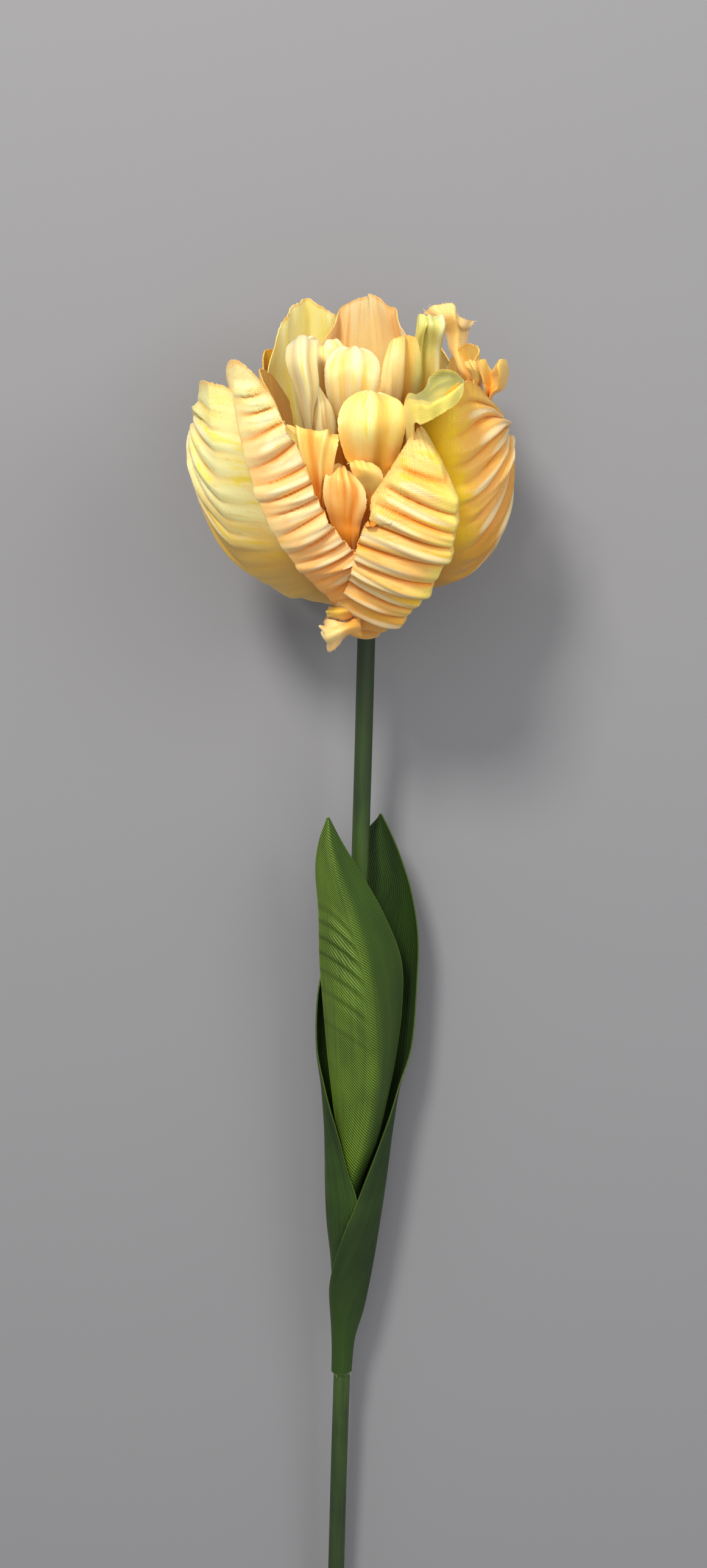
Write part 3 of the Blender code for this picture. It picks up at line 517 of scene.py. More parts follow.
petals = {
    "outer_left": dict(
        midrib=((-74, 3, 2), (-70, 18, 8), (-66, 31, 18), (-61, 41, 32), (-58, 46, 51), (-58, 47, 70),
                (-63, 46, 90)),
        leftWidth=(4, 17, 22, 24, 23.5, 23, 22), rightWidth=(4, 18, 26, 28, 28, 26, 20),
        leftBend=((10, 50, 80), (-10, 20, 50), (-20, 10, 40), (0, 20, 40)),
        rightBend=((20, 60, 90), (30, 60, 90), (30, 60, 80)), drop=(0.02, 0.1), round=0.12, ridges=16,
        ridgeHeight=2.0, ridgeRise=(0.55, 0.0), ridgeShare=(1, 1, 0.9, 0.3, 0.05, 0, 0), lips=(0, -1.0, 0),
        look="leftPetal", grain=8),
    "outer_front_left": dict(
        midrib=((-10, 3, 4), (-7, 18, 9), (-12, 29, 17), (-18, 37, 28), (-26, 43, 40), (-34, 46, 54),
                (-42, 45, 68), (-51, 42, 84), (-57, 40, 97)),
        leftWidth=(4, 8, 9, 8, 7, 7, 7, 8, 9), rightWidth=(6, 12, 15, 17, 17, 17, 17, 13, 10.5),
        leftBend=((50, 100, 120), (60, 110, 140), (40, 90, 110), (0, 10, 20)),
        rightBend=((0, 20, 40), (5, 25, 40), (0, 20, 30), (10, 20, 30)), drop=(0.02, 0.03), round=0.085,
        ridges=16, ridgeHeight=2.5, ridgeUp=(-0.5, 0.87, 0.1), ridgePitch=5.0,
        ridgeShare=(0, 0, 0, 0.12, 0.65, 1, 1), lips=(0, -1.0, -0.4), look="frontPeach",
        marginSides=(0.5, 1.0), grain=-55, fineness="crimped"),
    "outer_front_right": dict(
        midrib=((8, 3, 2), (6, 19, 4), (11, 30, 11), (21, 40, 24), (29, 47, 40), (33, 48, 55),
                (32.5, 42.5, 67), (31, 35, 78)),
        leftWidth=(6, 15, 19, 22, 26.5, 26, 22.5, 9), rightWidth=(4, 12, 17, 21, 21, 18, 12, 6),
        leftBend=((0, 30, 40), (5, 30, 40), (5, 30, 40), (10, 20, 30)),
        rightBend=((40, 90, 110), (30, 90, 120), (30, 90, 120), (20, 60, 80)), drop=(0.04, 0.06),
        round=0.09, ridges=13, ridgeHeight=2.8, ridgeUp=(0.42, 0.9, 0.1), ridgePitch=6.0,
        ridgeShare=(1, 1, 0.95, 0.6, 0.1, 0, 0), lips=(-0.4, -0.8, 0), look="frontPetal",
        marginSides=(1.0, 0.1), grain=60, fineness="crimped"),
    "outer_right": dict(
        midrib=((75, 3, 4), (72, 17, 9), (64, 30, 17), (57, 38, 30), (53, 40, 45), (51, 39, 60),
                (52, 37, 74), (55, 37, 86)),
        leftWidth=(5, 14, 18, 18, 18, 18, 16, 10), rightWidth=(5, 17, 25, 29, 30, 29, 25, 17),
        leftBend=((10, 40, 60), (20, 60, 90), (20, 60, 90)),
        rightBend=((0, 40, 80), (-20, 20, 65), (-24, 12, 58), (-15, 5, 30)), drop=(0.14, 0.12), round=0.1,
        ridges=14, ridgeHeight=3.0, ridgeRise=(0.0, 0.55), ridgeShare=(0, 0, 0, 0.4, 1, 1, 1),
        lips=(0, -0.8, 1.2), look="rightPetal", marginSides=(-1, 1), grain=-12),
    "outer_back_right": dict(
        midrib=((140, 3, 0), (142, 22, 3), (145, 38, 12), (146, 47, 28), (146, 50, 46), (146, 47, 60),
                (146, 42, 72)),
        **even((5, 18, 26, 29, 28, 24, 16)), **belly(((10, 50, 80), (10, 50, 70), (10, 40, 50))),
        drop=(0.2, 0.2), ridges=8, ridgeHeight=1.6, ridgeRise=(0.4, 0.4),
        ridgeShare=(1, 1, 0.3, 0, 0.3, 1, 1), look="leftPetal", grain=10),
    "outer_back_left": dict(
        midrib=((-148, 3, 0), (-148, 22, 3), (-148, 38, 12), (-148, 47, 28), (-148, 50, 44),
                (-148, 47, 56), (-148, 42, 66)),
        **even((5, 18, 26, 29, 28, 24, 16)), **belly(((10, 50, 80), (10, 50, 70), (10, 40, 50))),
        drop=(0.2, 0.2), ridges=8, ridgeHeight=1.6, ridgeRise=(0.4, 0.4),
        ridgeShare=(1, 1, 0.3, 0, 0.3, 1, 1), look="leftPetal", grain=-10),
    "back_left": dict(
        midrib=((-150, 3, 4), (-148, 14, 14), (-148, 24, 38), (-149, 28, 66), (-150, 30, 91)),
        **even((4, 12, 17, 20, 17)), leftBend=((15, 35, 40),) * 2, rightBend=((-10, 30, 40),) * 2,
        drop=(0.08, 0.05), round=0.15, creases=((-0.12, 3.6, 0.13), (0.3, -1.8, 0.16), (-0.6, 2.0, 0.12)),
        lips=(0.8, -1.0, 0.5), look="backPetal", grain=30, fold=1.0),
    "back": dict(
        midrib=((172, 3, 4), (172, 14, 14), (170, 22, 40), (168, 26, 68), (168, 28, 92)),
        **even((4, 12, 17, 20, 15)), **cup(15, 35, 40), drop=(0.1, 0.1), round=0.12,
        creases=((-0.5, 2.4, 0.1), (0.15, -1.4, 0.2), (0.5, 2.2, 0.1)), lips=(0, -1.0, 0.6),
        look="backPeach", grain=20, fold=1.0),
    "back_right": dict(
        net=(((4, 8, -4), (4.5, 8, -4.5), (5, 8, -5), (5.5, 8, -5.5), (6, 8, -6)),), round=0.02, curl=0.5,
        seed=1, look="sidePetal", grain=86, frays=3, fineness="outer"),
    "side_right_high": dict(
        midrib=((106, 3, 4), (106, 19, 14), (104, 32, 36), (103, 37, 58), (104, 37, 82)),
        **even((4, 11, 14, 14, 13)), **cup(10, 30, 30), drop=(0.06, 0.06), round=0.08, curl=0.8, seed=2,
        lips=(1.0, 0, 0), look="yellowPetal", grain=85),
    "side_right_low": dict(
        net=(((3, 8, -1), (3.5, 8, -1.5), (4, 8, -2), (4.5, 8, -2.5), (5, 8, -3), (5.5, 8, -3)),),
        round=0.03, curl=0.4, seed=3, look="yellowPetal", grain=88, fineness="outer"),
    "side_right_lobe": dict(
        net=(((4, 8, -3), (5, 8, -4), (6, 8, -5)),), round=0.06, curl=0.6, seed=6, look="orangePetal",
        grain=70),
    "side_left_back": dict(
        midrib=((-125, 3, 4), (-125, 18, 14), (-125, 28, 36), (-125, 31, 58), (-125, 31, 80)),
        **even((4, 11, 14, 14, 10)), **cup(10, 40, 50), drop=(0.1, 0.1), round=0.1, look="rightPetal",
        grain=15),
    "side_left": dict(
        midrib=((-92, 3, 4), (-92, 14, 14), (-92, 24, 36), (-92, 27, 58), (-92, 27, 82)),
        **even((4, 11, 14, 14, 10)), **cup(10, 40, 50), drop=(0.1, 0.1), round=0.1, fold=0.5,
        look="orangePetal", grain=15),
    "side_left_low": dict(
        midrib=((-70, 3, 4), (-72, 14, 14), (-75, 25, 34), (-76, 29, 54), (-76, 29, 70)),
        **even((4, 10, 12, 12, 9)), **cup(10, 40, 50), drop=(0.1, 0.1), round=0.1, fold=0.5,
        look="yellowPetal", grain=20),
    "inner_left": dict(
        net=(((-2, 7, 0), (-2, 6, 1), (-2, 7, 2)),
             ((-9, 35, 4), (-8, 35, 6), (-7, 35, 5)),
             ((-13, 58, 9), (-12, 58, 12), (-10, 58, 10)),
             ((-15, 75, 14), (-13, 75, 18), (-12, 75, 15)),
             ((-16, 84, 16), (-13, 85, 21), (-10, 84, 17)),
             ((-18, 91, 15), (-14, 94, 21), (-10, 92, 16)),
             ((-18, 94, 11), (-14, 98, 16), (-10, 95, 11)),
             ((-17, 93, 6), (-14, 97, 9), (-11, 94, 6))),
        round=0.02, look="creamPetal", grain=20, fold=0.4),
    "inner_back": dict(
        net=(((-3, 7, -3), (-2, 7, -2), (-1, 7, -3)),), round=0.02, creases=((0.05, -1.4, 0.22),),
        look="creamPetal", grain=10, fold=0.6),
    "inner_top": dict(
        net=(((-1, 7, 3), (0, 7, 4), (1, 7, 3)),), round=0.02, creases=((-0.3, -0.5, 0.3),),
        look="creamPetal", grain=-20, fold=0.5),
    "inner_front": dict(
        net=(((2, 7, 10), (4, 7, 11), (6, 7, 10)),), round=0.02, creases=((0.35, -0.5, 0.25),),
        look="brightPetal", grain=15, fold=0.6),
    "inner_pointed": dict(
        net=(((-4, 7, 3), (-3, 7, 4), (-2, 7, 3)),), creases=((0.1, -0.8, 0.2),), look="creamPetal",
        grain=40, fold=0.4),
    "inner_square": dict(
        net=(((-3, 7, 10), (-2, 7, 11), (-1, 7, 10)),),
        creases=((-0.45, 2.0, 0.12), (0.0, -1.8, 0.16), (0.45, 2.0, 0.12)), look="orangePetal", grain=10,
        fold=0.6),
    "inner_low": dict(
        net=(((-1, 7, 14), (0, 7, 15), (1, 7, 14)),), round=0.02,
        creases=((-0.1, -1.0, 0.16), (0.45, -0.9, 0.14)), look="peachPetal", grain=35, fold=0.4),
    "inner_torn": dict(
        net=(((4, 8, 14), (5, 8, 15), (6, 8, 14)),), curl=0.4, look="orangePetal", grain=30, frays=2),
    "inner_right_front": dict(
        midrib=((33, 2, 6), (33, 10, 18), (31, 18, 42), (28, 21, 58), (28, 21, 72)),
        **even((3, 8, 10, 11, 9)), **cup(10, 40, 60), drop=(0.1, 0.1), round=0.06,
        creases=((-0.2, 0.8, 0.12), (0.3, 0.8, 0.12)), look="peachPetal", grain=20, fold=0.5),
    "rolled_rim": dict(
        round=0.02, look="shadedPetal", marginSides=(0, 1), grain=4, fineness="outer"),
    "inner_right": dict(
        net=(((4, 8, -2), (5, 8, -3), (6, 8, -4)),
             ((9, 30, 0), (11, 30, -1), (13, 29, -4)),
             ((13, 52, 2), (15, 52, 1), (18, 50, -3)),
             ((15, 74, 5), (20, 74, 2), (25, 71, -3)),
             ((17, 87, 5), (21, 88, 3), (26, 85, -2)),
             ((18, 94, 4), (22, 96, 6), (27, 92, 0)),
             ((19, 98, 1), (22, 98, 3), (27, 93, -3))),
        drop=(0, 0.02), round=0.04, curl=0.5, seed=5, creases=((-0.1, -1.6, 0.14), (0.45, 1.3, 0.14)),
        look="greenishPetal", grain=15, fold=0.7),
    "inner_right_left": dict(
        net=(((3, 8, 0), (4, 8, 0), (5, 8, -1)),
             ((5, 32, 4), (7, 32, 4), (9, 31, 2)),
             ((6, 55, 8), (9, 55, 8), (13, 53, 5)),
             ((7, 77, 14), (12, 76, 12), (18, 75, 7)),
             ((8, 87, 14), (13, 88, 14), (19, 87, 8)),
             ((11, 95, 10), (14, 96, 11), (18, 95, 7))),
        round=0.05, creases=((0.4, -1.8, 0.16), (-0.5, 0.8, 0.2)), look="ribbedPetal", grain=20, fold=0.6,
        marginSides=(0, 1)),
    "tail_low": dict(
        round=0.1, curl=0.9, seed=2, look="backPeach", grain=80, frays=2),
    "tail_high": dict(
        round=0.1, curl=0.3, seed=4, look="yellowPetal", grain=70),
}

petalFineness = {"crimped": (230, 116), "outer": (140, 66), "inner": (72, 48), "sectionSteps": 300,
                 "sectionParts": 60}


def flowerFrame():
    # the flower's axis, and its directions up from the table and to the right, in the stem's own frame
    nod, lean = math.radians(flower["nod"]), math.radians(flower["lean"])
    axis = np.array((math.sin(lean), math.cos(nod) * math.cos(lean), math.sin(nod)))
    axis /= np.linalg.norm(axis)
    front = np.array((0.0, 0.0, 1.0)) - axis * axis[2]
    front /= np.linalg.norm(front)
    return axis, front, np.cross(axis, front)


def seenPoint(x, y, height):
    # a pixel of the picture at a height to the front, as millimetres right of the flower's axis, up it and to
    # the front
    axis, front, right = flowerFrame()
    down = math.radians(view["down"])
    toRight = (x - view["imageWidth"] / 2) / view["focalPixels"]
    toTop = (view["imageHeight"] / 2 - y) / view["focalPixels"]
    ray = np.array((toRight, toTop * math.cos(down) - math.sin(down),
                    -toTop * math.sin(down) - math.cos(down)))
    eye = np.array(view["place"])
    place = eye + ray * (height - eye @ front) / (ray @ front)
    return place @ right, place @ axis, height


def bendSection(bends, along, across):
    # sideways and inward reach of a half section of width 1, bent by rows of angles
    rows = np.stack([soft(row, across) for row in bends])
    place = np.clip(along, 0, 1) * (len(bends) - 1)
    low = np.clip(place.astype(int), 0, len(bends) - 2)
    mix = ease(place - low)[:, None]
    angle = np.radians(rows[low] * (1 - mix) + rows[low + 1] * mix)

    def reach(part):
        steps = (part[:, 1:] + part[:, :-1]) / 2 / (len(across) - 1)
        return np.concatenate((np.zeros((len(along), 1)), np.cumsum(steps, 1)), 1)

    return reach(np.cos(angle)), reach(np.sin(angle))


def netGrid(net, u, v):
    # smooth surface through rows of points: millimetres right of the flower's axis, up it, and to the front
    axis, front, right = flowerFrame()
    steps, parts = petalFineness["sectionSteps"], petalFineness["sectionParts"]
    rows = [soft(row, np.linspace(0, 1, parts)) for row in net]
    fine = soft(np.stack(rows), np.linspace(0, 1, steps))
    place = readTable(fine, np.clip(v, 0, 1) * (steps - 1), (u + 1) / 2 * (parts - 1))
    return place @ np.stack((right, axis, front))


def ribGrid(midrib, leftWidth, rightWidth, leftBend, rightBend, u, v):
    # surface bent to both sides of a midrib
    axis, front, right = flowerFrame()
    steps, parts = petalFineness["sectionSteps"], petalFineness["sectionParts"]
    along, across = np.linspace(0, 1, steps), np.linspace(0, 1, parts)
    points = []
    for angle, radius, height in midrib:
        turn = math.radians(angle)
        points.append(radius * (math.cos(turn) * front + math.sin(turn) * right) + height * axis)
    spine = evenCurve(points, steps)
    tangent = np.gradient(spine, axis=0)
    tangent /= np.linalg.norm(tangent, axis=1)[:, None]
    turn = np.radians(soft([place[0] for place in midrib], along))[:, None]
    sideways = np.cos(turn) * right - np.sin(turn) * front
    sideways -= (sideways * tangent).sum(1)[:, None] * tangent
    sideways /= np.linalg.norm(sideways, axis=1)[:, None]
    out = np.cross(sideways, tangent)
    row, column = np.clip(v, 0, 1) * (steps - 1), np.abs(u) * (parts - 1)

    def alongRib(values):
        low = np.clip(row.astype(int), 0, steps - 2)
        mix = (row - low)[..., None] if values.ndim == 2 else row - low
        return values[low] * (1 - mix) + values[low + 1] * mix

    leftOut, leftIn = bendSection(leftBend, along, across)
    rightOut, rightIn = bendSection(rightBend, along, across)
    leftReach, rightReach = alongRib(soft(leftWidth, along)), alongRib(soft(rightWidth, along))
    beside = np.where(u < 0, -readTable(leftOut, row, column) * leftReach,
                      readTable(rightOut, row, column) * rightReach)
    inward = np.where(u < 0, readTable(leftIn, row, column) * leftReach,
                      readTable(rightIn, row, column) * rightReach)
    return alongRib(spine) + beside[..., None] * alongRib(sideways) - inward[..., None] * alongRib(out)


def petalGrid(rows, columns, tear, drop=(0, 0), net=None, round=0.0, ridges=0, ridgeHeight=0.0,
              ridgeRise=(0.0, 0.0), ridgeUp=None, ridgePitch=1.0, ridgeShare=(1, 1), creases=(),
              lips=(0.0, 0.0, 0.0), curl=0.0, seed=0, fold=0.0, **rib):
    # middle surface of a petal, root row and left margin first, with each point's place across and along it,
    # its crimp and its stripe
    u, p = np.meshgrid(np.linspace(-1, 1, columns + 1), np.linspace(0, 1, rows + 1))
    side = np.abs(u)
    v = p**(1 - np.where(u < 0, *ridgeRise) * side**1.2)
    rounding = round * (1 - np.sqrt(1 - 0.97 * u**2)) * ease((p - 0.5) / 0.5)
    v = v * (1 - np.where(u < 0, *drop) * side**2.2 - rounding)

    def surface(across, along):
        return netGrid(net, across, along) if net else ribGrid(u=across, v=along, **rib)

    whole = surface(u, v)
    grid = surface(u * tear["side"], v * (1 - tear["top"] * ease((p - 0.8) / 0.2)))
    normal = gridNormals(whole)
    crimp, stripe = np.zeros_like(u), 1.2 * p
    if ridges:
        phase = ridges * p
        if ridgeUp:
            axis, front, right = flowerFrame()
            phase = whole @ (ridgeUp[0] * right + ridgeUp[1] * axis + ridgeUp[2] * front) / ridgePitch
        sway = 0.2 * np.sin(1.3 * phase + 1.5 * u + seed)
        phase = phase + sway + 0.16 * ripples(3 * u, 5 * p, seed + 3, 1.3)
        number, stripe = np.floor(phase), 1.8 * phase
        height = ridgeHeight * (0.85 + 0.28 * np.sin(2.4 * number + u))
        turn = (phase - number)**flower["ridgeLean"]
        shape = np.sin(math.pi * turn)**flower["ridgeRoundness"]
        ends = ease((p - 0.03) / 0.12) * ease((0.99 - p) / 0.1)
        fade = soft(ridgeShare, (u + 1) / 2) * ends
        reach = soft(ridgeShare, (u + 1) / 2 + 0.06 * np.sin(3.7 * number)) * ends
        small = 0.12 * np.sin(2 * math.pi * phase * 2.2 + 5 * u) * shape * fade
        # crimp runs from -1 in the valleys to 1 on the crests; the finish paints shade and staining from its
        # low end and a highlight from its high end
        crimp = 2 * shape * reach - fade
        grid = grid + normal * (shape * reach * height - 0.5 * ridgeHeight * fade + small * height)[..., None]
    facing = np.sign((normal @ flowerFrame()[1]).mean())
    for place, height, width in creases:
        wander = place * (0.6 + 0.5 * p) + 0.06 * np.sin(5 * p + 9 * place)
        valley = np.exp(-((u - wander) / width)**2) * ease((p - 0.05) / 0.5)
        crimp = crimp + valley * 0.7 * facing * np.sign(height)
        grid = grid + normal * (height * valley)[..., None]
    left, tip, right = lips
    rolled = left * ease((-u - 0.7) / 0.3)**2 + right * ease((u - 0.7) / 0.3)**2
    rolled += tip * ease((p - 0.8) / 0.2)**2
    grid = grid + normal * rolled[..., None]
    if curl:
        wave = np.sin(9 * v + seed) * ease((side - 0.5) / 0.5)
        wave += 0.6 * np.sin(10 * u + 1.7 * seed) * ease((p - 0.7) / 0.3)
        grid = grid + normal * (curl * wave)[..., None]
    if fold:
        crease = ripples(5 * u, 3 * p, seed + 11, 2.2)
        # fold ripples mark the crimp too, so the finish paints shade and highlight over the folds
        crimp = crimp + crease * 0.5
        grid = grid + normal * (fold * crease * ease(p / 0.3))[..., None]
    return grid, u, p, crimp, stripe


def pressedFlat(grid):
    # the petal raised to the table where it would reach below it
    up = np.array((0.0, math.sin(stemSlope), math.cos(stemSlope)))
    short = flower["clothInSolid"] / 2 - (grid @ up + flower["lift"])
    return grid + np.maximum(short, 0)[..., None] * up


def tornEdge(rows, columns, seed, depth):
    # how far the cut edge falls short of the petal's outline, at its sides and its tip
    drawn = random.Random(seed)
    sides = np.array([[drawn.random()**3 for _ in range(2)] for _ in range(rows + 1)])
    top = np.array([drawn.random()**3 for _ in range(columns + 1)])
    u = np.linspace(-1, 1, columns + 1)
    near = ease((np.abs(u) - 0.86) / 0.14)[None, :]
    side = 1 - depth * np.where(u[None, :] < 0, sides[:, :1], sides[:, 1:]) * near
    return {"side": side, "top": depth * 0.25 * top[None, :]}


looseThreads = []


def frayMargin(grid, count, seed):
    # a few threads pulled out of the cut edge
    drawn = random.Random(seed)
    rows, columns = grid.shape[:2]
    for _ in range(count):
        if drawn.random() < 0.4:
            j = drawn.randrange(2, columns - 2)
            start, inner = grid[-1, j], grid[-6, j]
        else:
            i = drawn.randrange(rows // 4, rows - 1)
            start, inner = (grid[i, 0], grid[i, 4]) if drawn.random() < 0.5 else (grid[i, -1], grid[i, -5])
        away = (start - inner) / max(np.linalg.norm(start - inner), 1e-9)
        sway = np.array([drawn.uniform(-1, 1) for _ in range(3)])
        length = drawn.uniform(0.4, 1.0)
        looseThreads.append([start + away * length * (t - 0.12) + sway * length * 0.45 * t * t
                             for t in np.linspace(0, 1, 5)])


petalEdges = {"tear": 0.03, "ridgedTear": 0.02, "threads": 3, "frayThreads": 14}
notShape = ("look", "grain", "frays", "marginSides", "fineness")
for number, (name, spec) in enumerate(petals.items()):
    shape = {key: spec[key] for key in spec if key not in notShape}
    if name in picked:
        shape["net"] = [*spec.get("net", ()), *([seenPoint(*place) for place in row] for row in picked[name])]
    rows, columns = petalFineness[spec.get("fineness", "outer" if "ridges" in spec else "inner")]
    tear = tornEdge(rows, columns, number, petalEdges["ridgedTear" if "ridges" in spec else "tear"])
    grid, u, p, crimp, stripe = petalGrid(**shape, rows=rows, columns=columns, tear=tear)
    grid = pressedFlat(grid)
    rim = np.minimum((1 - np.abs(u)) * 4, (1 - p) * 6)
    makeSheet("petal_" + name, grid, flower["cloth"], petalFinishes[spec["look"]], "bloom",
              {"margin": np.abs(u) * np.where(u < 0, *spec.get("marginSides", (1.0, 1.0))), "along": p,
               "crimp": crimp, "rim": np.clip(rim, 0, 1), "tone": np.full_like(u, math.sin(number * 2.3)),
               "stripeAcross": u * (1.3 if "ridges" in spec else 6.0), "stripeAlong": stripe}, spec["grain"])
    frayMargin(grid, petalEdges["threads"] + petalEdges["frayThreads"] * spec.get("frays", 0), number + 50)
print("petals:", len(petals), "sheets")


def makeStrands(name, paths, radius, finish, node, sides=3):
    points, faces = [], []
    for path in paths:
        path = np.array(path)
        direction = np.gradient(path, axis=0)
        first = len(points)
        for centre, along in zip(path, direction):
            along = along / max(np.linalg.norm(along), 1e-9)
            beside = np.cross(along, (0.31, 0.22, 0.93))
            beside /= np.linalg.norm(beside)
            above = np.cross(along, beside)
            for k in range(sides):
                turn = 2 * math.pi * k / sides
                points.append(centre + radius * (math.cos(turn) * beside + math.sin(turn) * above))
        faces += ringFaces(len(path), sides, first)
    makePiece(name, points, faces, finish, node)


threadLook = {"light": (252, 226, 190), "dark": (250, 200, 130), "radius": 0.045, "mottle": 300.0}
threadFinish = Finish("petalThread")
threadMottle = threadFinish.noise(threadFinish.place("Object"), threadLook["mottle"])
threadFinish.set(Base_Color=threadFinish.speckle(threadLook["light"], threadLook["dark"], threadMottle),
                 Roughness=0.6)
makeStrands("petal_threads", looseThreads, threadLook["radius"], threadFinish, "bloom")
print("petals:", len(looseThreads), "loose threads")


# Moulded cup that the petals are fastened to, inside the flower

receptacle = {"profile": ((0, -5), (4.5, -5), (6, -3), (8, 2), (9, 10), (8.5, 22), (6, 30), (0, 32)),
              "sides": 48, "rings": 40, "light": (150, 164, 74), "dark": (196, 186, 84), "speck": 400.0}


def lathePiece(name, profile, rings, sides, finish, node):
    axis, front, right = flowerFrame()
    reach = evenCurve([(radius, height, 0) for radius, height in profile], rings)
    points = []
    for radius, height, _ in reach[1:-1]:
        for k in range(sides):
            turn = 2 * math.pi * k / sides
            out = math.cos(turn) * front + math.sin(turn) * right
            points.append(max(radius, 0.2) * out + height * axis)
    makePiece(name, points, ringFaces(rings - 2, sides), finish, node)


cupFinish = Finish("mouldedCup")
cupSpeck = cupFinish.noise(cupFinish.place("Object"), receptacle["speck"])
cupFinish.set(Base_Color=cupFinish.speckle(receptacle["light"], receptacle["dark"], cupSpeck),
              Roughness=0.42 + cupSpeck * 0.15, Normal=cupFinish.bump(cupSpeck, 0.05 * mm))
lathePiece("receptacle", receptacle["profile"], receptacle["rings"], receptacle["sides"], cupFinish,
           "bloom")
print("receptacle: made")


# Stem: plastic coat with a steel wire in it

stemLook = {"light": (60, 86, 20), "dark": (30, 50, 12), "deep": (20, 34, 8), "sides": 36, "rings": 170,
            "roughen": 0.03, "seam": 0.09, "bore": 1.4}
wireLook = {"light": (150, 148, 144), "dark": (96, 92, 88), "plug": 8.0, "sides": 20, "rings": 60}


def stemPlaces(y):
    line = evenCurve([(x, place, 0) for place, x in stem["line"]], 200)
    y = np.asarray(y, float)
    return np.stack((np.interp(-y, -line[:, 1], line[:, 0]), y, np.zeros_like(y)), -1)


def tubePiece(name, start, end, radius, rings, sides, finish, node, roughen=0.0, seam=0.0, hollow=0.0):
    line = stemPlaces(np.linspace(start, end, rings))
    direction = np.gradient(line, axis=0)
    points, faces = [], []
    for wall in ((radius, hollow) if hollow else (radius,)):
        for i, (centre, along) in enumerate(zip(line, direction)):
            along = along / np.linalg.norm(along)
            up = np.array((0.0, 0.0, 1.0))
            beside = np.cross(along, up)
            for k in range(sides):
                turn = 2 * math.pi * k / sides
                grow = 0.0
                if wall == radius:
                    grow = roughen * (math.sin(5 * turn + 0.21 * i) * math.sin(0.13 * i + 2 * turn) - 1)
                    grow += seam * max(0.0, 1 - abs(math.sin(turn)) * 9)
                reach = wall + grow
                points.append(centre + reach * (math.cos(turn) * beside + math.sin(turn) * up))
    inner = rings * sides
    for i in range(rings - 1):
        for k in range(sides):
            a, b = i * sides + k, i * sides + (k + 1) % sides
            faces.append((a, a + sides, b + sides, b))
            if hollow:
                faces.append((inner + b, inner + b + sides, inner + a + sides, inner + a))
    last = (rings - 1) * sides
    if hollow:
        for k in range(sides):
            following = (k + 1) % sides
            faces.append((k, following, inner + following, inner + k))
            faces.append((inner + last + k, inner + last + following, last + following, last + k))
    else:
        faces.append(tuple(range(sides)))
        faces.append(tuple(last + k for k in reversed(range(sides))))
    makePiece(name, points, faces, finish, node)


stemFinish = Finish("stemCoat")
stemPlace = stemFinish.place("Object")
stemStreak = stemFinish.noise(stemFinish.stretch(stemPlace, 1, 0.06), 900.0, 4.0)
stemCloud = stemFinish.noise(stemPlace, 45.0, 3.0)
_, stemUp = stemFinish.parts(stemPlace)
stemColour = stemFinish.speckle(stemLook["light"], stemLook["dark"],
                                (stemStreak * 0.5 + stemCloud * 0.6).rise(0.3, 0.85))
stemShade = stemUp.rise(0.1, 0.2) * 0.85 + (1 - stemUp.rise(-0.12, -0.05)) * 0.6
stemFinish.set(Base_Color=stemFinish.blend(stemColour, tint(*stemLook["deep"]), stemShade),
               Roughness=0.38 + stemStreak * 0.2, Normal=stemFinish.bump(stemStreak, 0.06 * mm))
tubePiece("stem_coat", stem["plug"], -stem["length"], stem["radius"], stemLook["rings"], stemLook["sides"],
          stemFinish, "stem", stemLook["roughen"], stemLook["seam"], stemLook["bore"])

wireFinish = Finish("steelWire")
wireScratch = wireFinish.noise(wireFinish.stretch(wireFinish.place("Object"), 1, 0.05), 1500.0)
wireFinish.set(Base_Color=wireFinish.speckle(wireLook["light"], wireLook["dark"], wireScratch.rise(0.4, 0.7)),
               Metallic=1.0, Roughness=0.3 + wireScratch * 0.25)
tubePiece("wire", wireLook["plug"], -stem["length"], stem["wireRadius"], wireLook["rings"], wireLook["sides"],
          wireFinish, "stem_wire")
print("stem: coat and wire")


# Leaves: place along the stem, then five points (sideways, height) from the left edge over the midrib to the
# right one

frontLeaf = {
    "thickness": 0.42, "rows": 220, "columns": 72, "grain": 42, "fold": 1.3, "foldReach": 0.16,
    # wrinkles pressed across the left half: place along the stem, depth
    "wrinkles": ((-94, 1.5), (-99, 2.8), (-104.5, 3.0), (-110, 2.6), (-116, 1.8), (-123, 1.5),
                 (-134, 0.8)),
    "wrinkleWidth": 1.5, "wrinkleSag": 8.0,
    "sections": (
        (-64, (-12.3, 9), (-12.2, 9.1), (-12.1, 9.1), (-12, 9.1), (-11.9, 9)),
        (-72, (-14.8, 8), (-13.3, 9.6), (-11.6, 10.6), (-9.6, 9.6), (-7.9, 8.4)),
        (-82, (-16, 6.6), (-12.8, 10.2), (-9.2, 12.2), (-5.6, 10), (-2.4, 7.4)),
        (-96, (-15.2, 5.5), (-11, 10), (-5.2, 13), (0.4, 10.6), (5, 6.6)),
        (-113, (-15, 3.5), (-9.5, 10), (-0.8, 14), (5.6, 9.6), (10.9, 3)),
        (-130, (-13.8, 2.4), (-8.5, 9.4), (1.2, 13.6), (7.6, 8), (11.3, 1)),
        (-147, (-12.4, 2), (-7.8, 8.2), (2.2, 12), (7, 7), (9.4, 0.8)),
        (-162, (-10.8, 2.4), (-7, 6.8), (1, 9.8), (5, 6), (6.6, 1.4)),
        (-177, (-9.4, 2), (-7.6, 5), (-2, 7), (2, 4.6), (3.4, 1)),
        (-192, (-9.9, 0.4), (-8.7, 3.2), (-5.8, 4.5), (-3.0, 3.2), (-1.8, 0.4)),
        (-204, (-10.2, -0.6), (-9.1, 2.7), (-6.2, 4.0), (-3.4, 2.7), (-2.4, -0.6)),
    ),
}

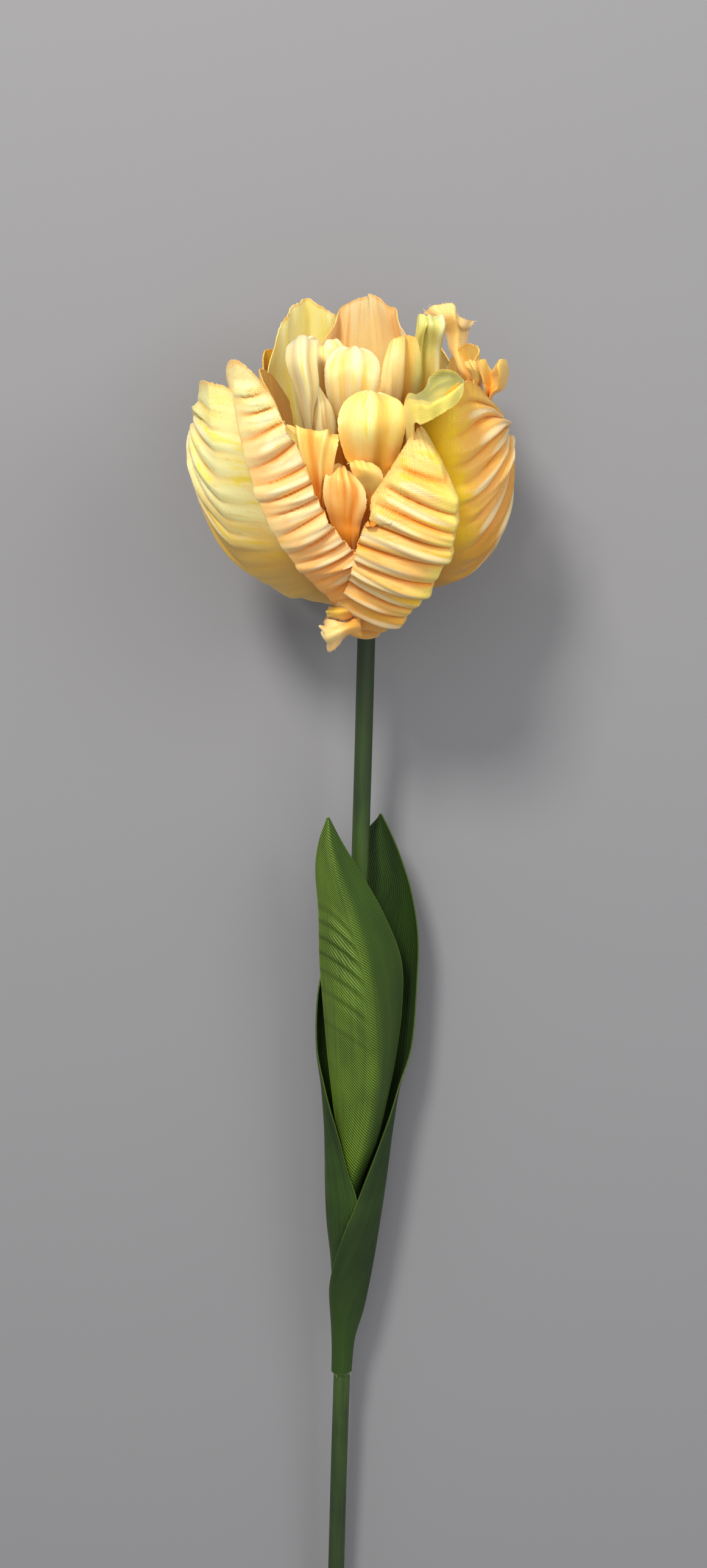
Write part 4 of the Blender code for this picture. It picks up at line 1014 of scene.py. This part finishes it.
# Rolled leaf: place along the stem, reach to the left, right, back and front of the stem's axis, and the
# angles of its left and right margins, counted from the back through the right
rearLeaf = {
    "thickness": 0.42, "rows": 220, "columns": 96, "grain": 80, "overlapStep": 1.3,
    "sections": (
        (-66.5, 5, 7.6, 6, 5, 50, 58),
        (-72, 6, 10.2, 6.5, 5, 14, 64),
        (-80, 6, 13.6, 7, 5, 2, 68),
        (-92, 7, 17.5, 8, 5, -8, 72),
        (-107, 9, 20, 9, 5, -55, 76),
        (-125, 12, 20, 9.5, 5, -88, 79),
        (-143, 12, 19, 9.5, 6, -98, 84),
        (-157, 10, 15.5, 9, 7, -118, 102),
        (-171, 8.6, 13.8, 8.5, 8, -150, 127),
        (-182, 8, 12.9, 8, 8, -172, 146),
        (-193, 7.6, 12, 7.6, 7.8, -192, 164),
        (-205, 6.8, 10.8, 7, 7.2, -198, 186),
        (-219, 5.0, 9.2, 5.8, 6, -200, 220),
        (-236, 3.7, 6.6, 4.3, 4.5, -200, 268),
        (-248, 3.1, 3.7, 3.2, 3.3, -200, 276),
        (-260, 3.0, 3.0, 3.0, 3.0, -200, 280),
    ),
}

leafLooks = {
    "leafFrontCloth": dict(light=(90, 122, 22), dark=(28, 56, 8), thread=(160, 182, 52), edge=(118, 136, 44),
                           threadShare=0.62, grooveShade=0.8, rightShade=0.7, footGlow=0.0, glow=0.05),
    "leafRearCloth": dict(light=(48, 76, 14), dark=(14, 32, 4), thread=(72, 98, 28), edge=(84, 106, 36),
                          threadShare=0.2, grooveShade=0.35, rightShade=0.3, footGlow=0.6, glow=0.02),
}
leafWeave = {"pitch": 0.58, "height": 0.07 * mm}


def leafFinish(name, look):
    finish = Finish(name)
    place = finish.place()
    x, y = finish.parts(place)
    rim = finish.mask("rim")
    side, along = finish.mask("side"), finish.mask("along")
    cloud = finish.noise(finish.join(side * 1.6, along * 7), 1.0, 3.0)
    vein = finish.noise(finish.join(side * 16, along * 3), 1.0, 4.0, 0.6)
    turn = 2 * math.pi / leafWeave["pitch"]
    rib = (y * turn * 0.8).wave()
    thread = (x * turn * 1.3 + rib).wave()
    weave = rib * 0.75 + thread * 0.25
    colour = finish.speckle(look["light"], look["dark"], (cloud * 0.8 + vein * 0.5).rise(0.4, 0.95))
    # painted shade in the grooves of the weave
    colour = finish.blend(colour, tint(*look["dark"]), (0.5 - weave * 0.5) * look["grooveShade"])
    colour = finish.blend(colour, tint(*look["thread"]), weave.rise(0.3, 1.0) * look["threadShare"])
    colour = finish.blend(colour, tint(*look["dark"]), side.rise(0.0, 0.3) * look["rightShade"])
    colour = finish.blend(colour, tint(*look["light"]), along.rise(0.75, 1.0) * look["footGlow"])
    colour = finish.blend(colour, tint(*look["edge"]), (1 - rim.rise(0.0, 0.05)) * 0.5)
    finish.set(Base_Color=colour, Roughness=0.5 + cloud * 0.12,
               Normal=finish.bump(weave + vein * 1.5, leafWeave["height"]), Sheen_Weight=look["glow"],
               Sheen_Roughness=0.4, Sheen_Tint=(0.8, 1.0, 0.4, 1.0), Specular_IOR_Level=0.3)
    return finish


def frontLeafGrid():
    rows = [[(x, y, z) for x, z in places] for y, *places in frontLeaf["sections"]]
    across = np.stack([soft(row, np.linspace(0, 1, frontLeaf["columns"] + 1)) for row in rows])
    grid = soft(across, np.linspace(0, 1, frontLeaf["rows"] + 1))
    u = np.linspace(-1, 1, grid.shape[1])[None, :] * np.ones((grid.shape[0], 1))
    width = np.abs(grid[:, -1, 0] - grid[:, 0, 0])[:, None] / 26
    grid[..., 2] += frontLeaf["fold"] * width * (np.exp(-np.abs(u) / frontLeaf["foldReach"]) - 0.35)
    for place, depth in frontLeaf["wrinkles"]:
        away = (grid[..., 1] - place + frontLeaf["wrinkleSag"] * (u + 1)**3) / frontLeaf["wrinkleWidth"]
        ripple = depth * away * np.exp(-away**2)
        grid[..., 2] += ripple * ease(-u / 0.2) * (0.75 + 0.25 * np.sin(3 * u + place))
    return grid


def rearLeafGrid():
    rows = soft(rearLeaf["sections"], np.linspace(0, 1, rearLeaf["rows"] + 1))
    columns = rearLeaf["columns"]
    grid = np.zeros((len(rows), columns + 1, 3))
    for i, (y, left, right, back, front, first, last) in enumerate(rows):
        centre = stemPlaces(y)
        turn = np.radians(np.linspace(first, last, columns + 1))
        beside = np.where(np.sin(turn) > 0, right, left)
        depth = np.where(np.cos(turn) > 0, back, front)
        step = rearLeaf["overlapStep"] * ease((np.degrees(turn) - 130) / 50) * ease((last - 150) / 40)
        step *= 0.3 + 0.7 * ease((y + 258) / 40)
        grid[i, :, 0] = centre[0] + (beside + step) * np.sin(turn)
        grid[i, :, 1] = y
        grid[i, :, 2] = -(depth + step) * np.cos(turn)
    return grid


leaves = (("leaf_front", frontLeaf, frontLeafGrid(), "leafFrontCloth", "leaf_light"),
          ("leaf_rear", rearLeaf, rearLeafGrid(), "leafRearCloth", "leaf_dark"))
for name, leaf, grid, look, slot in leaves:
    u, p = np.meshgrid(np.linspace(-1, 1, grid.shape[1]), np.linspace(0, 1, grid.shape[0]))
    grid = grid + gridNormals(grid) * (0.16 * ripples(5 * u, 14 * p, 5, 1.5) * ease(p / 0.1))[..., None]
    rim = np.minimum(1, np.minimum((1 - np.abs(u)) * 3, np.minimum(p, 1 - p) * 20))
    makeSheet(name + "_cloth", grid, leaf["thickness"], leafFinish(look, leafLooks[look]), name,
              {"rim": rim, "side": u, "along": p}, leaf["grain"])

collar = {"place": -260.0, "radius": 3.15, "threads": 46, "length": 1.6, "threadRadius": 0.06,
          "light": (150, 160, 104), "dark": (70, 92, 40), "mottle": 300.0}
drawn = random.Random(8)
collarThreads = []
for k in range(collar["threads"]):
    turn = drawn.uniform(0, 2 * math.pi)
    out = np.array((math.sin(turn), 0.0, -math.cos(turn)))
    sway = np.array([drawn.uniform(-1, 1) for _ in range(3)])
    reach = collar["length"] * drawn.uniform(0.3, 1.0)
    start = stemPlaces(collar["place"]) + collar["radius"] * out + np.array((0, 0.5, 0))
    collarThreads.append([start + np.array((0, -reach * t, 0)) + (out * 0.3 + sway * 0.5) * reach * t * t
                          for t in np.linspace(0, 1, 5)])
collarFinish = Finish("collarThread")
collarMottle = collarFinish.noise(collarFinish.place("Object"), collar["mottle"])
collarFinish.set(Base_Color=collarFinish.speckle(collar["light"], collar["dark"], collarMottle),
                 Roughness=0.7)
makeStrands("collar_threads", collarThreads, collar["threadRadius"], collarFinish, "leaf_rear")
print("leaves: two, with", len(collarThreads), "threads at the collar")


# Table, light and camera

table = {"size": 6.0, "drop": 0.0002, "colour": (138, 137, 138)}
studio = {"colour": (0.92, 0.95, 1.0, 1.0), "strength": 0.46}
floorMesh = bpy.data.meshes.new("table_top")
half = table["size"] / 2
tableCorners = [(-half, -half, 0), (half, -half, 0), (half, half, 0), (-half, half, 0)]
floorMesh.from_pydata(tableCorners, [], [(0, 1, 2, 3)])
tableTop = bpy.data.objects.new("table_top", floorMesh)
tableTop.location.z = -table["drop"]
bpy.context.scene.collection.objects.link(tableTop)
tableFinish = Finish("paleTable")
tableFinish.set(Base_Color=tint(*table["colour"]), Roughness=0.9, Specular_IOR_Level=0.1)
floorMesh.materials.append(tableFinish.material)

lamps = {
    # name: place from the lamps' target in metres, width, power, colour
    "key": dict(place=(-0.34, 0.76, 0.84), width=0.26, power=13.0, colour=(1.0, 0.98, 0.95)),
    "fill": dict(place=(0.75, 0.4, 0.85), width=0.7, power=5.0, colour=(0.97, 0.98, 1.0)),
    "front": dict(place=(-0.1, 0.3, 1.1), width=0.9, power=3.0, colour=(1.0, 0.98, 0.96)),
}
target = layDown @ (Vector((0, 30, 20)) * mm)
for name, lamp in lamps.items():
    light = bpy.data.lights.new(name, "AREA")
    light.shape = "DISK"
    light.size = lamp["width"]
    light.energy = lamp["power"]
    light.color = lamp["colour"]
    lampObject = bpy.data.objects.new(name, light)
    lampObject.location = target + Vector(lamp["place"])
    lampObject.rotation_euler = (target - lampObject.location).to_track_quat("-Z", "Y").to_euler()
    bpy.context.scene.collection.objects.link(lampObject)

bpy.context.scene.view_settings.view_transform = "Standard"
world = bpy.data.worlds.new("studio")
bpy.context.scene.world = world
world.use_nodes = True
sky = world.node_tree.nodes["Background"].inputs
sky["Color"].default_value = studio["colour"]
sky["Strength"].default_value = studio["strength"]

camera = bpy.data.cameras.new("photo_view")
camera.sensor_fit = "VERTICAL"
camera.sensor_height = view["sensor"]
camera.lens = view["focalPixels"] / view["imageHeight"] * view["sensor"]
camera.clip_start = 0.01
cameraObject = bpy.data.objects.new("photo_view", camera)
tilt = Matrix.Rotation(-math.radians(view["down"]), 4, "X")
cameraObject.matrix_world = layDown @ Matrix.Translation(Vector(view["place"]) * mm) @ tilt
bpy.context.scene.collection.objects.link(cameraObject)
bpy.context.scene.camera = cameraObject
print("stage: table, lamps and camera")
